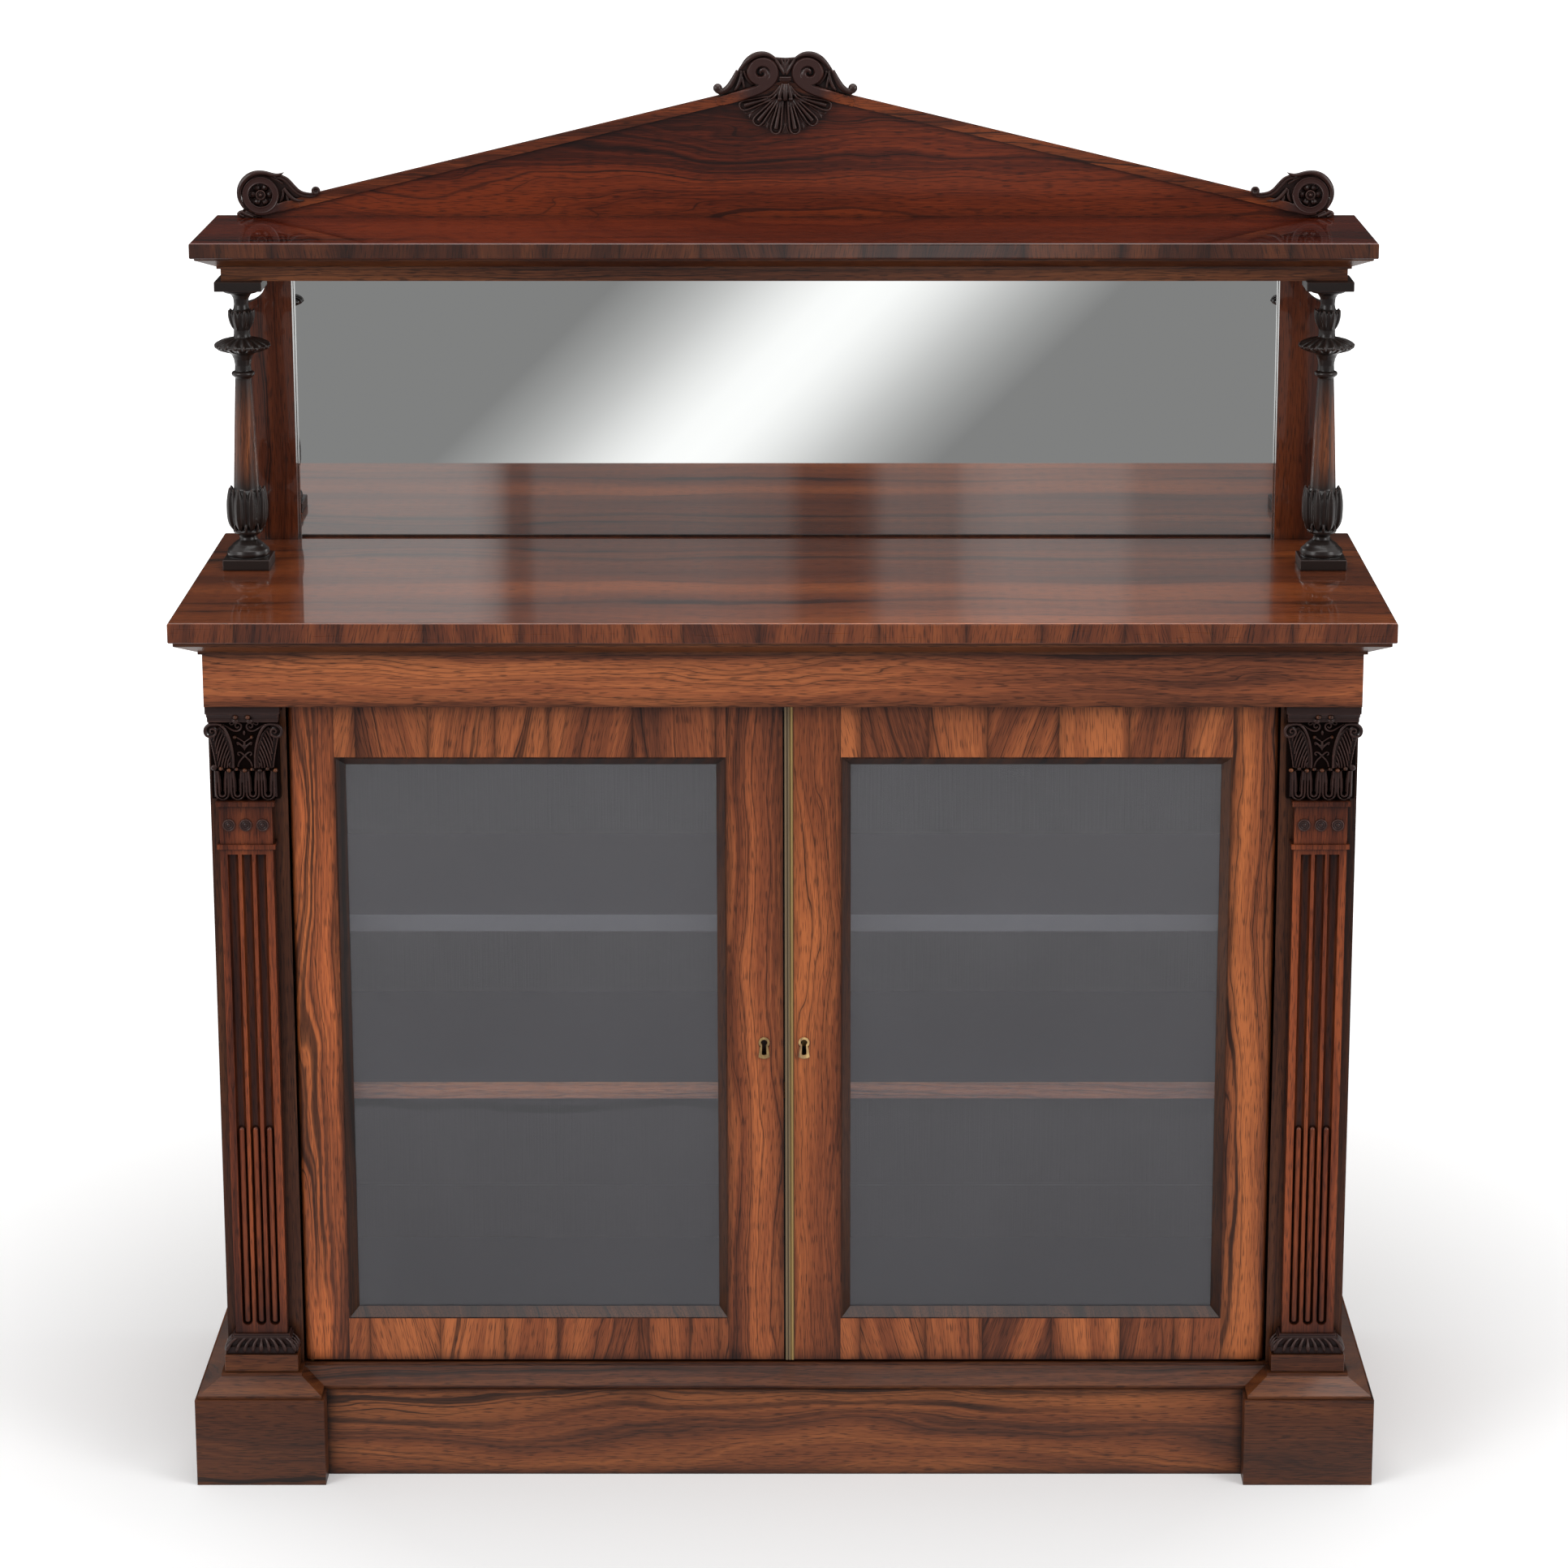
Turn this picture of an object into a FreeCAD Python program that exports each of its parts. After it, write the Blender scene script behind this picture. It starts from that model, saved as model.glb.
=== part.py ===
import FreeCAD, Part
import math
import os
import re
import Sketcher

# Rosewood chiffonier: a low glazed cupboard on a breakfront plinth, with a
# mirrored gallery shelf on two turned columns and a raked pediment above it.
# Millimetres. +X is to the right, the doors face -Y and +Z is up.
# The origin is on the floor, under the middle of the table top.

doc = FreeCAD.newDocument("chiffonier")
vec = FreeCAD.Vector
hair = 1e-6

driving_sizes = {
    # table top and the moulding that it stands on
    "top_width": 1220,
    "top_depth": 430,
    "table_height": 919,
    "top_thickness": 21,
    "top_overhang": 29.5,
    "top_edge_round": 2,
    "moulding_set_in": 4.4,
    "moulding_return": 3.7,
    "table_moulding_tall": 17,
    "table_bead_tall": 4,
    "fillet_tall": 2.5,
    # carcass
    "frieze_tall": 55,
    "frieze_thickness": 20,
    "stile_set_back": 26.5,
    "stile_width": 78.5,
    "stile_thickness": 20,
    "side_thickness": 20,
    "back_set_in": 5,
    "back_thickness": 12,
    "back_member_width": 62,
    "back_panel_thickness": 6,
    "rail_depth": 60,
    "rail_thickness": 22,
    # plinth
    "plinth_reach": 29,
    "plinth_tall": 94,
    "plinth_thickness": 22,
    "block_width": 133.5,
    "breakfront": 28,
    "cap_tall": 20,
    "cap_set_in": 2.8,
    "cap_shoulder": 25,
    "cap_bead_tall": 3.5,
    "cap_fillet_tall": 3.5,
    "cap_bearing": 16,
    # shelves inside
    "shelf_thickness": 18,
    "shelf_set_back": 54,
    "shelf_side_gap": 0.5,
    "upper_shelf_height": 585,
    "lower_shelf_height": 403,
    "bearer_width": 14,
    "bearer_tall": 20,
    # doors
    "door_thickness": 22,
    "door_clearance": 2.5,
    "hinge_gap": 1.5,
    "meeting_gap": 1.5,
    "hanging_stile_width": 46.5,
    "meeting_stile_width": 57.5,
    "top_rail_tall": 56.5,
    "bottom_rail_tall": 45.5,
    "tenon_length": 28,
    "tenon_thickness": 8,
    "tenon_shoulder": 8,
    "glazing_width": 10,
    "glazing_depth": 10,
    "glazing_lip": 1.5,
    "glass_thickness": 3,
    "glass_gap": 0.3,
    "bead_thickness": 6,
    "bead_width": 7,
    # pin hinges at the top and bottom of each door
    "pivot_inset": 6,
    "pivot_pin_radius": 3,
    "pivot_clearance": 0.05,
    "pivot_pin_reach": 12,
    "pivot_plate_length": 36,
    "pivot_plate_radius": 5,
    "pivot_plate_thickness": 2.5,
    "pivot_bore_clearance": 0.5,
    # brass strip on the meeting edge, keyholes and the lock
    "strip_width": 9,
    "strip_proud": 1.6,
    "strip_reed_count": 3,
    "keyhole_height": 463,
    "keyhole_inset": 20.5,
    "keyhole_radius": 3.3,
    "keyhole_slot_width": 4.2,
    "keyhole_slot_length": 13,
    "escutcheon_wall": 2.4,
    "escutcheon_depth": 5,
    "escutcheon_proud": 0.5,
    "keyhole_blind_depth": 11,
    "key_pin_radius": 1.2,
    "key_pin_length": 8,
    "lock_length": 50,
    "lock_tall": 60,
    "lock_depth": 9,
    "lock_wall": 1.5,
    "lock_bolt_tall": 16,
    "lock_bolt_thickness": 5,
    "lock_bolt_length": 34,
    "lock_bolt_throw": 7,
    "lock_bolt_clearance": 0.3,
    "strike_depth": 10,
    # bolts on the back of the left-hand door
    "door_bolt_radius": 3,
    "door_bolt_clearance": 0.05,
    "door_bolt_length": 70,
    "door_bolt_throw": 12,
    "door_bolt_inset": 30,
    "door_bolt_stand_off": 6.5,
    "bolt_plate_width": 18,
    "bolt_plate_length": 64,
    "bolt_plate_thickness": 2,
    "bolt_guide_tall": 8,
    "bolt_knob_radius": 3.5,
    "bolt_knob_reach": 9,
    "bolt_socket_clearance": 0.6,
    "bolt_end_gap": 0.5,
    # pilasters
    "pilaster_inset": 37.5,
    "foot_width": 75.5,
    "foot_tall": 19,
    "foot_proud": 28,
    "collar_tall": 20,
    "collar_bulge": 1.6,
    "collar_groove": 2.4,
    "shaft_width": 53.5,
    "shaft_proud": 18,
    "shaft_slope": 4,
    "flute_width": 10.6,
    "flute_pitch": 14.2,
    "flute_low_margin": 9,
    "flute_high_margin": 6,
    "cable_radius": 3.3,
    "cable_length": 211,
    "astragal_tall": 4.8,
    "astragal_proud": 2.6,
    "neck_tall": 40,
    "roundel_radius": 6.2,
    "roundel_pitch": 17,
    "roundel_proud": 1.2,
    # pilaster capitals
    "capital_tall": 100.5,
    "lotus_band_width": 63,
    "lotus_band_tall": 34,
    "lotus_band_proud": 21,
    "lotus_loop_pitch": 15.3,
    "lotus_loop_radius": 5.4,
    "bell_width": 50,
    "bell_proud": 14,
    "volute_spread": 31,
    "volute_radius": 6.8,
    "volute_proud": 22,
    "abacus_tall": 11,
    "abacus_width": 72,
    "abacus_flare": 2.4,
    "abacus_proud": 24,
    # gallery shelf
    "gallery_height": 1266,
    "gallery_width": 1216,
    "gallery_depth": 210,
    "gallery_thickness": 16.5,
    "gallery_overhang": 28,
    "gallery_moulding_tall": 13.5,
    "gallery_bead_tall": 2,
    "gallery_frieze_tall": 13,
    "gallery_frieze_thickness": 20,
    # mirror and its uprights
    "upright_width": 57,
    "upright_thickness": 19,
    "upright_top_width": 27,
    "upright_scoop_radius": 22,
    "upright_scoop_drop": 51.5,
    "mirror_thickness": 3,
    "mirror_edge_gap": 0.4,
    "backboard_thickness": 9,
    "backboard_lap": 18,
    # pediment
    "pediment_inset": 25,
    "pediment_thickness": 15,
    "pediment_apex": 145.5,
    "pediment_end_tall": 5,
    "rake_thickness": 9.6,
    "rake_proud": 3,
    "pediment_set_back": 193,
    # crest
    "crest_back_inset": 3,
    "crest_proud": 9,
    "crest_relief": 2,
    "crest_volute_spread": 25,
    "crest_volute_rise": 157,
    "crest_volute_radius": 18,
    "crest_arch_thickness": 2.5,
    "crest_band_width": 7,
    "volute_half_turns": 3,
    "volute_seam": 0.7,
    "stem_width": 14,
    "shell_rise": 139.5,
    "shell_radius": 51,
    "shell_lobe_radius": 5,
    "shell_lobe_pitch": 26,
    "shell_lobe_count": 6,
    "shell_root_radius": 9,
    "crest_leaf_reach": 72,
    "crest_leaf_rise": 138,
    "crest_ball_radius": 4.2,
    # scrolls at the ends of the pediment
    "scroll_inset": 26,
    "scroll_rise": 26.7,
    "scroll_radius": 20,
    "scroll_band_width": 7,
    "scroll_leaf_thickness": 5.3,
    "scroll_proud": 4,
    "rosette_radius": 12.4,
    "rosette_boss_radius": 5,
    "scroll_tail_length": 58.6,
    "scroll_tail_rise": 30,
    "scroll_ball_radius": 5,
    # gallery columns, from the foot upwards
    "column_inset": 46,
    "column_set_back": 44.5,
    "column_foot_side": 49,
    "column_foot_tall": 10,
    "torus_radius": 22.4,
    "torus_tall": 9,
    "torus_ledge_radius": 15.5,
    "waist_radius": 8.5,
    "waist_tall": 9,
    "bulb_ring_radius": 15.5,
    "bulb_ring_tall": 5,
    "bulb_low_radius": 12.7,
    "bulb_radius": 17.9,
    "bulb_swell_tall": 16,
    "bulb_tall": 44,
    "bulb_top_radius": 17.2,
    "shaft_low_radius": 13.4,
    "shaft_high_radius": 8.8,
    "collar_ring_radius": 12.2,
    "collar_ring_tall": 6,
    "flare_low_radius": 8.5,
    "flare_high_radius": 10.7,
    "flare_tall": 21,
    "disc_radius": 29.8,
    "disc_tall": 18,
    "neck_radius": 8.8,
    "neck_rise": 8,
    "cup_low_radius": 10,
    "cup_high_radius": 12.5,
    "cup_tall": 22,
    "upper_neck_low_radius": 7.2,
    "upper_neck_high_radius": 10.8,
    "upper_neck_tall": 18,
    "ovolo_radius": 19,
    "ovolo_tall": 5,
    "column_abacus_side": 48.5,
    "column_abacus_tall": 10,
    "column_pattern_tall": 304,
}

sheet = doc.addObject("Spreadsheet::Sheet", "Sizes")
for row, (word, value) in enumerate(driving_sizes.items(), 1):
    sheet.set(f"A{row}", word)
    sheet.set(f"B{row}", str(value))
    sheet.setAlias(f"B{row}", word)

# Levels and lines that several pieces share, worked out from the sizes above.
derived_places = {
    "top_half": "top_width / 2",
    "front_line": "-top_depth / 2",
    "back_line": "top_depth / 2",
    "top_underside": "table_height - top_thickness",
    "frieze_top": "top_underside - table_moulding_tall",
    "frieze_low": "frieze_top - frieze_tall",
    "case_half": "top_half - top_overhang",
    "frieze_front": "front_line + top_overhang",
    "frieze_back": "frieze_front + frieze_thickness",
    "side_inner": "case_half - side_thickness",
    "stile_face": "frieze_front + stile_set_back",
    "stile_back": "stile_face + stile_thickness",
    "stile_inner": "case_half - stile_width",
    "case_back": "back_line - back_set_in",
    "back_face": "case_back - back_thickness",
    "floor_level": "plinth_tall + cap_tall",
    "plinth_half": "case_half + plinth_reach",
    "block_front": "frieze_front - plinth_reach",
    "block_inner": "plinth_half - block_width",
    "centre_front": "block_front + breakfront",
    "plinth_inner": "plinth_half - plinth_thickness",
    "cap_inner": "side_inner - cap_bearing",
    "shelf_front": "stile_face + shelf_set_back",
    "door_low": "floor_level + door_clearance",
    "door_high": "frieze_low - door_clearance",
    "door_back": "stile_face + door_thickness",
    "door_outer": "stile_inner - hinge_gap",
    "door_inner": "meeting_gap / 2",
    "opening_outer": "door_outer - hanging_stile_width",
    "opening_inner": "door_inner + meeting_stile_width",
    "opening_low": "door_low + bottom_rail_tall",
    "opening_high": "door_high - top_rail_tall",
    "glass_face": "stile_face + glazing_depth",
    "glass_back": "glass_face + glass_thickness",
    "pivot_x": "door_outer - pivot_inset",
    "pivot_y": "stile_face + pivot_inset",
    "lock_front": "door_back - lock_depth",
    "lock_low": "keyhole_height - lock_tall / 2",
    "bolt_axis_y": "door_back + door_bolt_stand_off",
    "pilaster_x": "case_half - pilaster_inset",
    "collar_low": "floor_level + foot_tall",
    "shaft_low": "collar_low + collar_tall",
    "capital_low": "frieze_low - capital_tall",
    "neck_low": "capital_low - astragal_tall - neck_tall",
    "shaft_high": "neck_low - astragal_tall",
    "shaft_front": "stile_face - shaft_proud",
    "gallery_half": "gallery_width / 2",
    "gallery_front": "back_line - gallery_depth",
    "gallery_underside": "gallery_height - gallery_thickness",
    "gallery_frieze_top": "gallery_underside - gallery_moulding_tall",
    "gallery_frieze_low": "gallery_frieze_top - gallery_frieze_tall",
    "gallery_case_half": "gallery_half - gallery_overhang",
    "gallery_case_front": "gallery_front + gallery_overhang",
    "backboard_face": "case_back - backboard_thickness",
    "upright_outer": "gallery_half - pediment_inset",
    "upright_inner": "upright_outer - upright_width",
    "upright_front": "backboard_face - upright_thickness",
    "pediment_front": "gallery_front + pediment_set_back",
    "pediment_back": "pediment_front + pediment_thickness",
    "rake_front": "pediment_front - rake_proud",
    "column_x": "gallery_half - column_inset",
    "column_y": "gallery_front + column_set_back",
    "column_stretch": "(gallery_frieze_low - table_height) / column_pattern_tall",
    "column_foot_top": "table_height + column_foot_tall * column_stretch",
    "column_abacus_low": "gallery_frieze_low - column_abacus_tall * column_stretch",
    "bulb_floor": "column_foot_top + (torus_tall + waist_tall + bulb_ring_tall) * column_stretch",
    "bulb_top": "bulb_floor + bulb_tall * column_stretch",
    "cup_floor": "column_abacus_low - (ovolo_tall + upper_neck_tall + cup_tall) * column_stretch",
    "collar_floor": "cup_floor - (neck_rise + disc_tall + flare_tall + collar_ring_tall) * column_stretch",
}

places = doc.addObject("App::VarSet", "Places")


def linked(formula):
    """Point each size or place named in a formula at the object that holds it."""
    def holder(match):
        word = match.group(0)
        if word in driving_sizes:
            return "Sizes." + word
        if word in derived_places:
            return "Places." + word
        return word
    return re.sub(r"[a-z][a-z_]+", holder, formula)


for word in derived_places:
    places.addProperty("App::PropertyFloat", word)
for word, formula in derived_places.items():
    places.setExpression(word, linked(formula))
doc.recompute()


def size(word):
    """The present value of a driving size or a derived place."""
    if word in driving_sizes:
        return float(getattr(sheet, word))
    return getattr(places, word)


def bind(thing, prop, formula):
    thing.setExpression(prop, linked(formula))


sub_parts = []


def keep(thing, label):
    """Name a finished sub-part after its node."""
    thing.Label = label
    sub_parts.append(thing)
    return thing


def unused_name(stem):
    """A document name for a feature that is not a sub-part by itself."""
    return "shape_of_" + stem


def block(name, x, y, z):
    """A box between pairs of bounds, each a formula."""
    box = doc.addObject("Part::Box", unused_name(name))
    spans = {"Length": x, "Width": y, "Height": z}
    for prop, (low, high) in spans.items():
        bind(box, prop, f"({high}) - ({low})")
    for axis, (low, high) in zip("xyz", (x, y, z)):
        bind(box, f"Placement.Base.{axis}", low)
    return box


turns = {
    "x": FreeCAD.Rotation(vec(0, 1, 0), 90),
    "y": FreeCAD.Rotation(vec(1, 0, 0), -90),
    "z": FreeCAD.Rotation(),
}


def rod(name, radius, at, length, axis="z"):
    """A cylinder from a point, running along +X, +Y or +Z."""
    cylinder = doc.addObject("Part::Cylinder", unused_name(name))
    cylinder.Placement = FreeCAD.Placement(vec(), turns[axis])
    bind(cylinder, "Radius", radius)
    bind(cylinder, "Height", length)
    for word, formula in zip("xyz", at):
        bind(cylinder, f"Placement.Base.{word}", formula)
    return cylinder


def ball(name, radius, at):
    sphere = doc.addObject("Part::Sphere", unused_name(name))
    bind(sphere, "Radius", radius)
    for word, formula in zip("xyz", at):
        bind(sphere, f"Placement.Base.{word}", formula)
    return sphere


def fused(name, things):
    if len(things) == 1:
        return things[0]
    fuse = doc.addObject("Part::MultiFuse", unused_name(name))
    fuse.Shapes = things
    fuse.Refine = True
    return fuse


def cut(name, base, tools):
    """The base with every tool taken out of it."""
    result = doc.addObject("Part::Cut", unused_name(name))
    result.Base = base
    result.Tool = fused(name + "_tools", tools)
    result.Refine = True
    return result


def group(name, things):
    """Separate solids that make one node."""
    compound = doc.addObject("Part::Compound", unused_name(name))
    compound.Links = things
    return compound


def mirrored(name, thing):
    """The same piece on the other side of the cupboard."""
    mirror = doc.addObject("Part::Mirroring", unused_name(name))
    mirror.Source = thing
    mirror.Normal = vec(1, 0, 0)
    return mirror


def pair(name, thing):
    """A right-hand piece and its mirror image, as one node."""
    return group(name, [thing, mirrored(name + "_left", thing)])


def keep_pair(thing, label):
    """Keep a right-hand piece and its mirror image."""
    right = keep(thing, "right_" + label)
    keep(mirrored("left_" + label, thing), "left_" + label)
    return right


def frustum(name, low, high, z):
    """A solid between two rectangles, one at each level.

    low and high are ((x from, x to), (y from, y to)), and z is the two levels.
    """
    wedge = doc.addObject("Part::Wedge", unused_name(name))
    # the wedge narrows along its own Y, which stands up once it is turned
    wedge.Placement = FreeCAD.Placement(vec(), FreeCAD.Rotation(vec(1, 0, 0), 90))
    (x_low, y_low), (x_high, y_high) = low, high
    bind(wedge, "Xmin", x_low[0])
    bind(wedge, "Xmax", x_low[1])
    bind(wedge, "Zmin", f"-({y_low[1]})")
    bind(wedge, "Zmax", f"-({y_low[0]})")
    bind(wedge, "X2min", x_high[0])
    bind(wedge, "X2max", x_high[1])
    bind(wedge, "Z2min", f"-({y_high[1]})")
    bind(wedge, "Z2max", f"-({y_high[0]})")
    bind(wedge, "Ymin", z[0])
    bind(wedge, "Ymax", z[1])
    return wedge


def origin_plane(body, role):
    for feature in body.Origin.OriginFeatures:
        if feature.Role == role:
            return feature


def sketch_outline(body, name, role, corners):
    """A closed outline on one of the body's own planes.

    A corner is (across, up) or (across, up, bulge). The formulas place the
    corner, and bulge bends the edge that leaves it: the height of the arc as
    a share of its chord, on the right of the way it runs.
    """
    sketch = body.newObject("Sketcher::SketchObject", name)
    sketch.AttachmentSupport = [(origin_plane(body, role), "")]
    sketch.MapMode = "FlatFace"
    spots = [vec(reading(c[0]), reading(c[1]), 0) for c in corners]
    count = len(corners)
    for index, corner in enumerate(corners):
        start = spots[index]
        end = spots[(index + 1) % count]
        if len(corner) == 2:
            sketch.addGeometry(Part.LineSegment(start, end))
            continue
        chord = end - start
        outward = vec(chord.y, -chord.x, 0)
        middle = (start + end) * 0.5 + outward * corner[2]
        # a sketch wants its arcs to run anticlockwise
        ends = (start, end) if corner[2] > 0 else (end, start)
        sketch.addGeometry(Part.Arc(ends[0], middle, ends[1]))
    starts = [start_end(sketch.Geometry[index], spots[index]) for index in range(count)]
    rules = []
    formulas = {}
    for index, corner in enumerate(corners):
        following = (index + 1) % count
        rules.append(Sketcher.Constraint("Coincident", index, 3 - starts[index], following, starts[following]))
        for kind, formula in zip(("DistanceX", "DistanceY"), corner):
            formulas[len(rules)] = formula
            rules.append(Sketcher.Constraint(kind, -1, 1, index, starts[index], reading(formula)))
        if len(corner) == 3:
            bulge = abs(corner[2])
            share = (0.25 + bulge * bulge) / (2 * bulge)
            run = f"(({corners[following][0]}) - ({corner[0]}))"
            rise = f"(({corners[following][1]}) - ({corner[1]}))"
            formulas[len(rules)] = f"sqrt({run} ^ 2 + {rise} ^ 2) * {share}"
            rules.append(Sketcher.Constraint("Radius", index, sketch.Geometry[index].Radius))
    sketch.addConstraint(rules)
    for number, formula in formulas.items():
        bind(sketch, f"Constraints[{number}]", formula)
    return sketch


def start_end(edge, spot):
    """Which end of an edge lies at the spot: 1 for its first, 2 for its last."""
    return 1 if (edge.StartPoint - spot).Length < (edge.EndPoint - spot).Length else 2


probe = doc.addObject("App::VarSet", "Probe")
probe.addProperty("App::PropertyFloat", "reading")


def reading(formula):
    """The present value of a formula."""
    probe.setExpression("reading", linked(formula))
    probe.recompute()
    return probe.reading


def padded(label, role, corners, low, high):
    """A board sawn to an outline and as thick as the gap between two formulas."""
    body = doc.addObject("PartDesign::Body", unused_name(label))
    sketch = sketch_outline(body, label + "_outline", role, corners)
    pad = body.newObject("PartDesign::Pad", label + "_thickness")
    pad.Profile = sketch
    bind(pad, "Length", f"({high}) - ({low})")
    # the front plane faces -Y, so its pads grow towards the front
    axis, shift = {
        "XY_Plane": ("z", low),
        "XZ_Plane": ("y", high),
        "YZ_Plane": ("x", low),
    }[role]
    bind(body, f"Placement.Base.{axis}", shift)
    return body


def turned(label, corners, at):
    """A piece turned about an upright axis at (x, y); corners are (radius, height)."""
    body = doc.addObject("PartDesign::Body", unused_name(label))
    sketch = sketch_outline(body, label + "_outline", "XZ_Plane", corners)
    turn = body.newObject("PartDesign::Revolution", label + "_turning")
    turn.Profile = sketch
    turn.ReferenceAxis = (sketch, ["V_Axis"])
    turn.Angle = 360
    for word, formula in zip("xy", at):
        bind(body, f"Placement.Base.{word}", formula)
    return body


# ---------------------------------------------------------------- plinth

def make_plinth():
    for_blocks = block(
        "plinth_block",
        ("block_inner", "plinth_half"),
        ("block_front", "centre_front + plinth_thickness"),
        ("0", "plinth_tall"),
    )
    keep_pair(for_blocks, "plinth_block")
    front_board = block(
        "plinth_front",
        ("-block_inner", "block_inner"),
        ("centre_front", "centre_front + plinth_thickness"),
        ("0", "plinth_tall"),
    )
    keep(front_board, "plinth_front_board")
    side_board = block(
        "plinth_side",
        ("plinth_inner", "plinth_half"),
        ("centre_front + plinth_thickness", "case_back"),
        ("0", "plinth_tall"),
    )
    keep(pair("plinth_sides", side_board), "plinth_side_boards")
    back_rail = block(
        "plinth_back",
        ("-plinth_inner", "plinth_inner"),
        ("case_back - plinth_thickness", "case_back"),
        ("0", "plinth_tall"),
    )
    keep(back_rail, "plinth_back_rail")
    make_plinth_cap()


def cap_stack(name, half_out, half_in, front):
    """Bead, slope and fillet of the cap over one run of the plinth.

    half_out and half_in are the run's ends before the cap is set in.
    """
    layers = []
    levels = (
        ("cap_set_in", "cap_set_in", "plinth_tall", "plinth_tall + cap_bead_tall"),
        ("cap_set_in", "cap_shoulder", "plinth_tall + cap_bead_tall", "floor_level - cap_fillet_tall"),
        ("cap_shoulder", "cap_shoulder", "floor_level - cap_fillet_tall", "floor_level"),
    )
    for number, (low_inset, high_inset, low, high) in enumerate(levels):
        low_shape = (
            (f"{half_in} + {low_inset}", f"{half_out} - {low_inset}"),
            (f"{front} + {low_inset}", "case_back"),
        )
        high_shape = (
            (f"{half_in} + {high_inset}", f"{half_out} - {high_inset}"),
            (f"{front} + {high_inset}", "case_back"),
        )
        layers.append(frustum(f"{name}_layer_{number}", low_shape, high_shape, (low, high)))
    return layers


def make_plinth_cap():
    whole = cap_stack("cap_middle", "plinth_half", "-plinth_half", "centre_front")
    right = cap_stack("cap_right", "plinth_half", "block_inner", "block_front")
    left = cap_stack("cap_left", "-block_inner", "-plinth_half", "block_front")
    solid = fused("cap_solid", whole + right + left)
    hollow = block(
        "cap_hollow",
        ("-cap_inner", "cap_inner"),
        ("stile_back", "case_back"),
        ("plinth_tall", "floor_level"),
    )
    back_notch = block(
        "cap_back_notch", ("-side_inner", "side_inner"), ("back_face", "case_back"),
        ("plinth_tall", "floor_level"),
    )
    seats = pivot_recesses("cap", "floor_level", -1)
    keep(cut("plinth_cap", solid, [hollow, back_notch] + seats), "plinth_cap")


# ---------------------------------------------------------------- pin hinges

def pivot_plate(name, side, top, direction):
    """A round-ended plate about the pivot, sunk below or above a level."""
    low, high = (top, f"{top} + pivot_plate_thickness")
    if direction < 0:
        low, high = (f"{top} - pivot_plate_thickness", top)
    pivot = f"{side} * pivot_x"
    reach = (pivot, f"{pivot} - {side} * pivot_plate_length")
    bar = block(
        name + "_bar",
        reach if side < 0 else reach[::-1],
        ("pivot_y - pivot_plate_radius", "pivot_y + pivot_plate_radius"),
        (low, high),
    )
    end = rod(name + "_end", "pivot_plate_radius", (pivot, "pivot_y", low), "pivot_plate_thickness")
    return fused(name, [bar, end])


def pivot_recesses(name, level, direction):
    """The sunk seats of the two fixed plates in the cap or the head rail."""
    return [pivot_plate(f"{name}_seat_{side}", side, level, direction) for side in (-1, 1)]


def make_fixed_pivots():
    """Plates with pins, sunk in the cap and in the head rail."""
    pins = []
    for side in (-1, 1):
        pivot = f"{side} * pivot_x"
        floor_plate = pivot_plate(f"floor_pivot_{side}", side, "floor_level", -1)
        floor_pin = rod(
            f"floor_pin_{side}", "pivot_pin_radius", (pivot, "pivot_y", "floor_level"),
            "pivot_pin_reach",
        )
        head_plate = pivot_plate(f"head_pivot_{side}", side, "frieze_low", 1)
        head_pin = rod(
            f"head_pin_{side}", "pivot_pin_radius",
            (pivot, "pivot_y", "frieze_low - pivot_pin_reach"), "pivot_pin_reach",
        )
        pins.append(fused(f"floor_pivot_whole_{side}", [floor_plate, floor_pin]))
        pins.append(fused(f"head_pivot_whole_{side}", [head_plate, head_pin]))
    keep(group("pivot_pins", pins), "pivot_pins")


# ---------------------------------------------------------------- carcass

def make_carcass():
    bottom = block(
        "bottom_board", ("-cap_inner", "cap_inner"), ("stile_back", "back_face"),
        ("plinth_tall", "floor_level"),
    )
    socket = rod(
        "bottom_socket", "door_bolt_radius + bolt_socket_clearance",
        ("-door_bolt_inset", "bolt_axis_y", "floor_level - door_bolt_throw - bolt_end_gap"),
        "door_bolt_throw + bolt_end_gap",
    )
    keep(cut("bottom_board_bored", bottom, [socket]), "bottom_board")
    side_outline = [
        ("stile_back", "floor_level"),
        ("case_back", "floor_level"),
        ("case_back", "top_underside"),
        ("frieze_back", "top_underside"),
        ("frieze_back", "frieze_low"),
        ("stile_back", "frieze_low"),
    ]
    side = padded("carcass_side", "YZ_Plane", side_outline, "side_inner", "case_half")
    keep(pair("carcass_sides", side), "carcass_sides")
    stile = block(
        "corner_stile", ("stile_inner", "case_half"), ("stile_face", "stile_back"),
        ("floor_level", "frieze_low"),
    )
    keep(pair("corner_stiles", stile), "corner_stiles")
    frieze = block(
        "frieze", ("-case_half", "case_half"), ("frieze_front", "frieze_back"),
        ("frieze_low", "frieze_top"),
    )
    keep(frieze, "frieze_board")
    make_rails()
    make_back()


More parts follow.
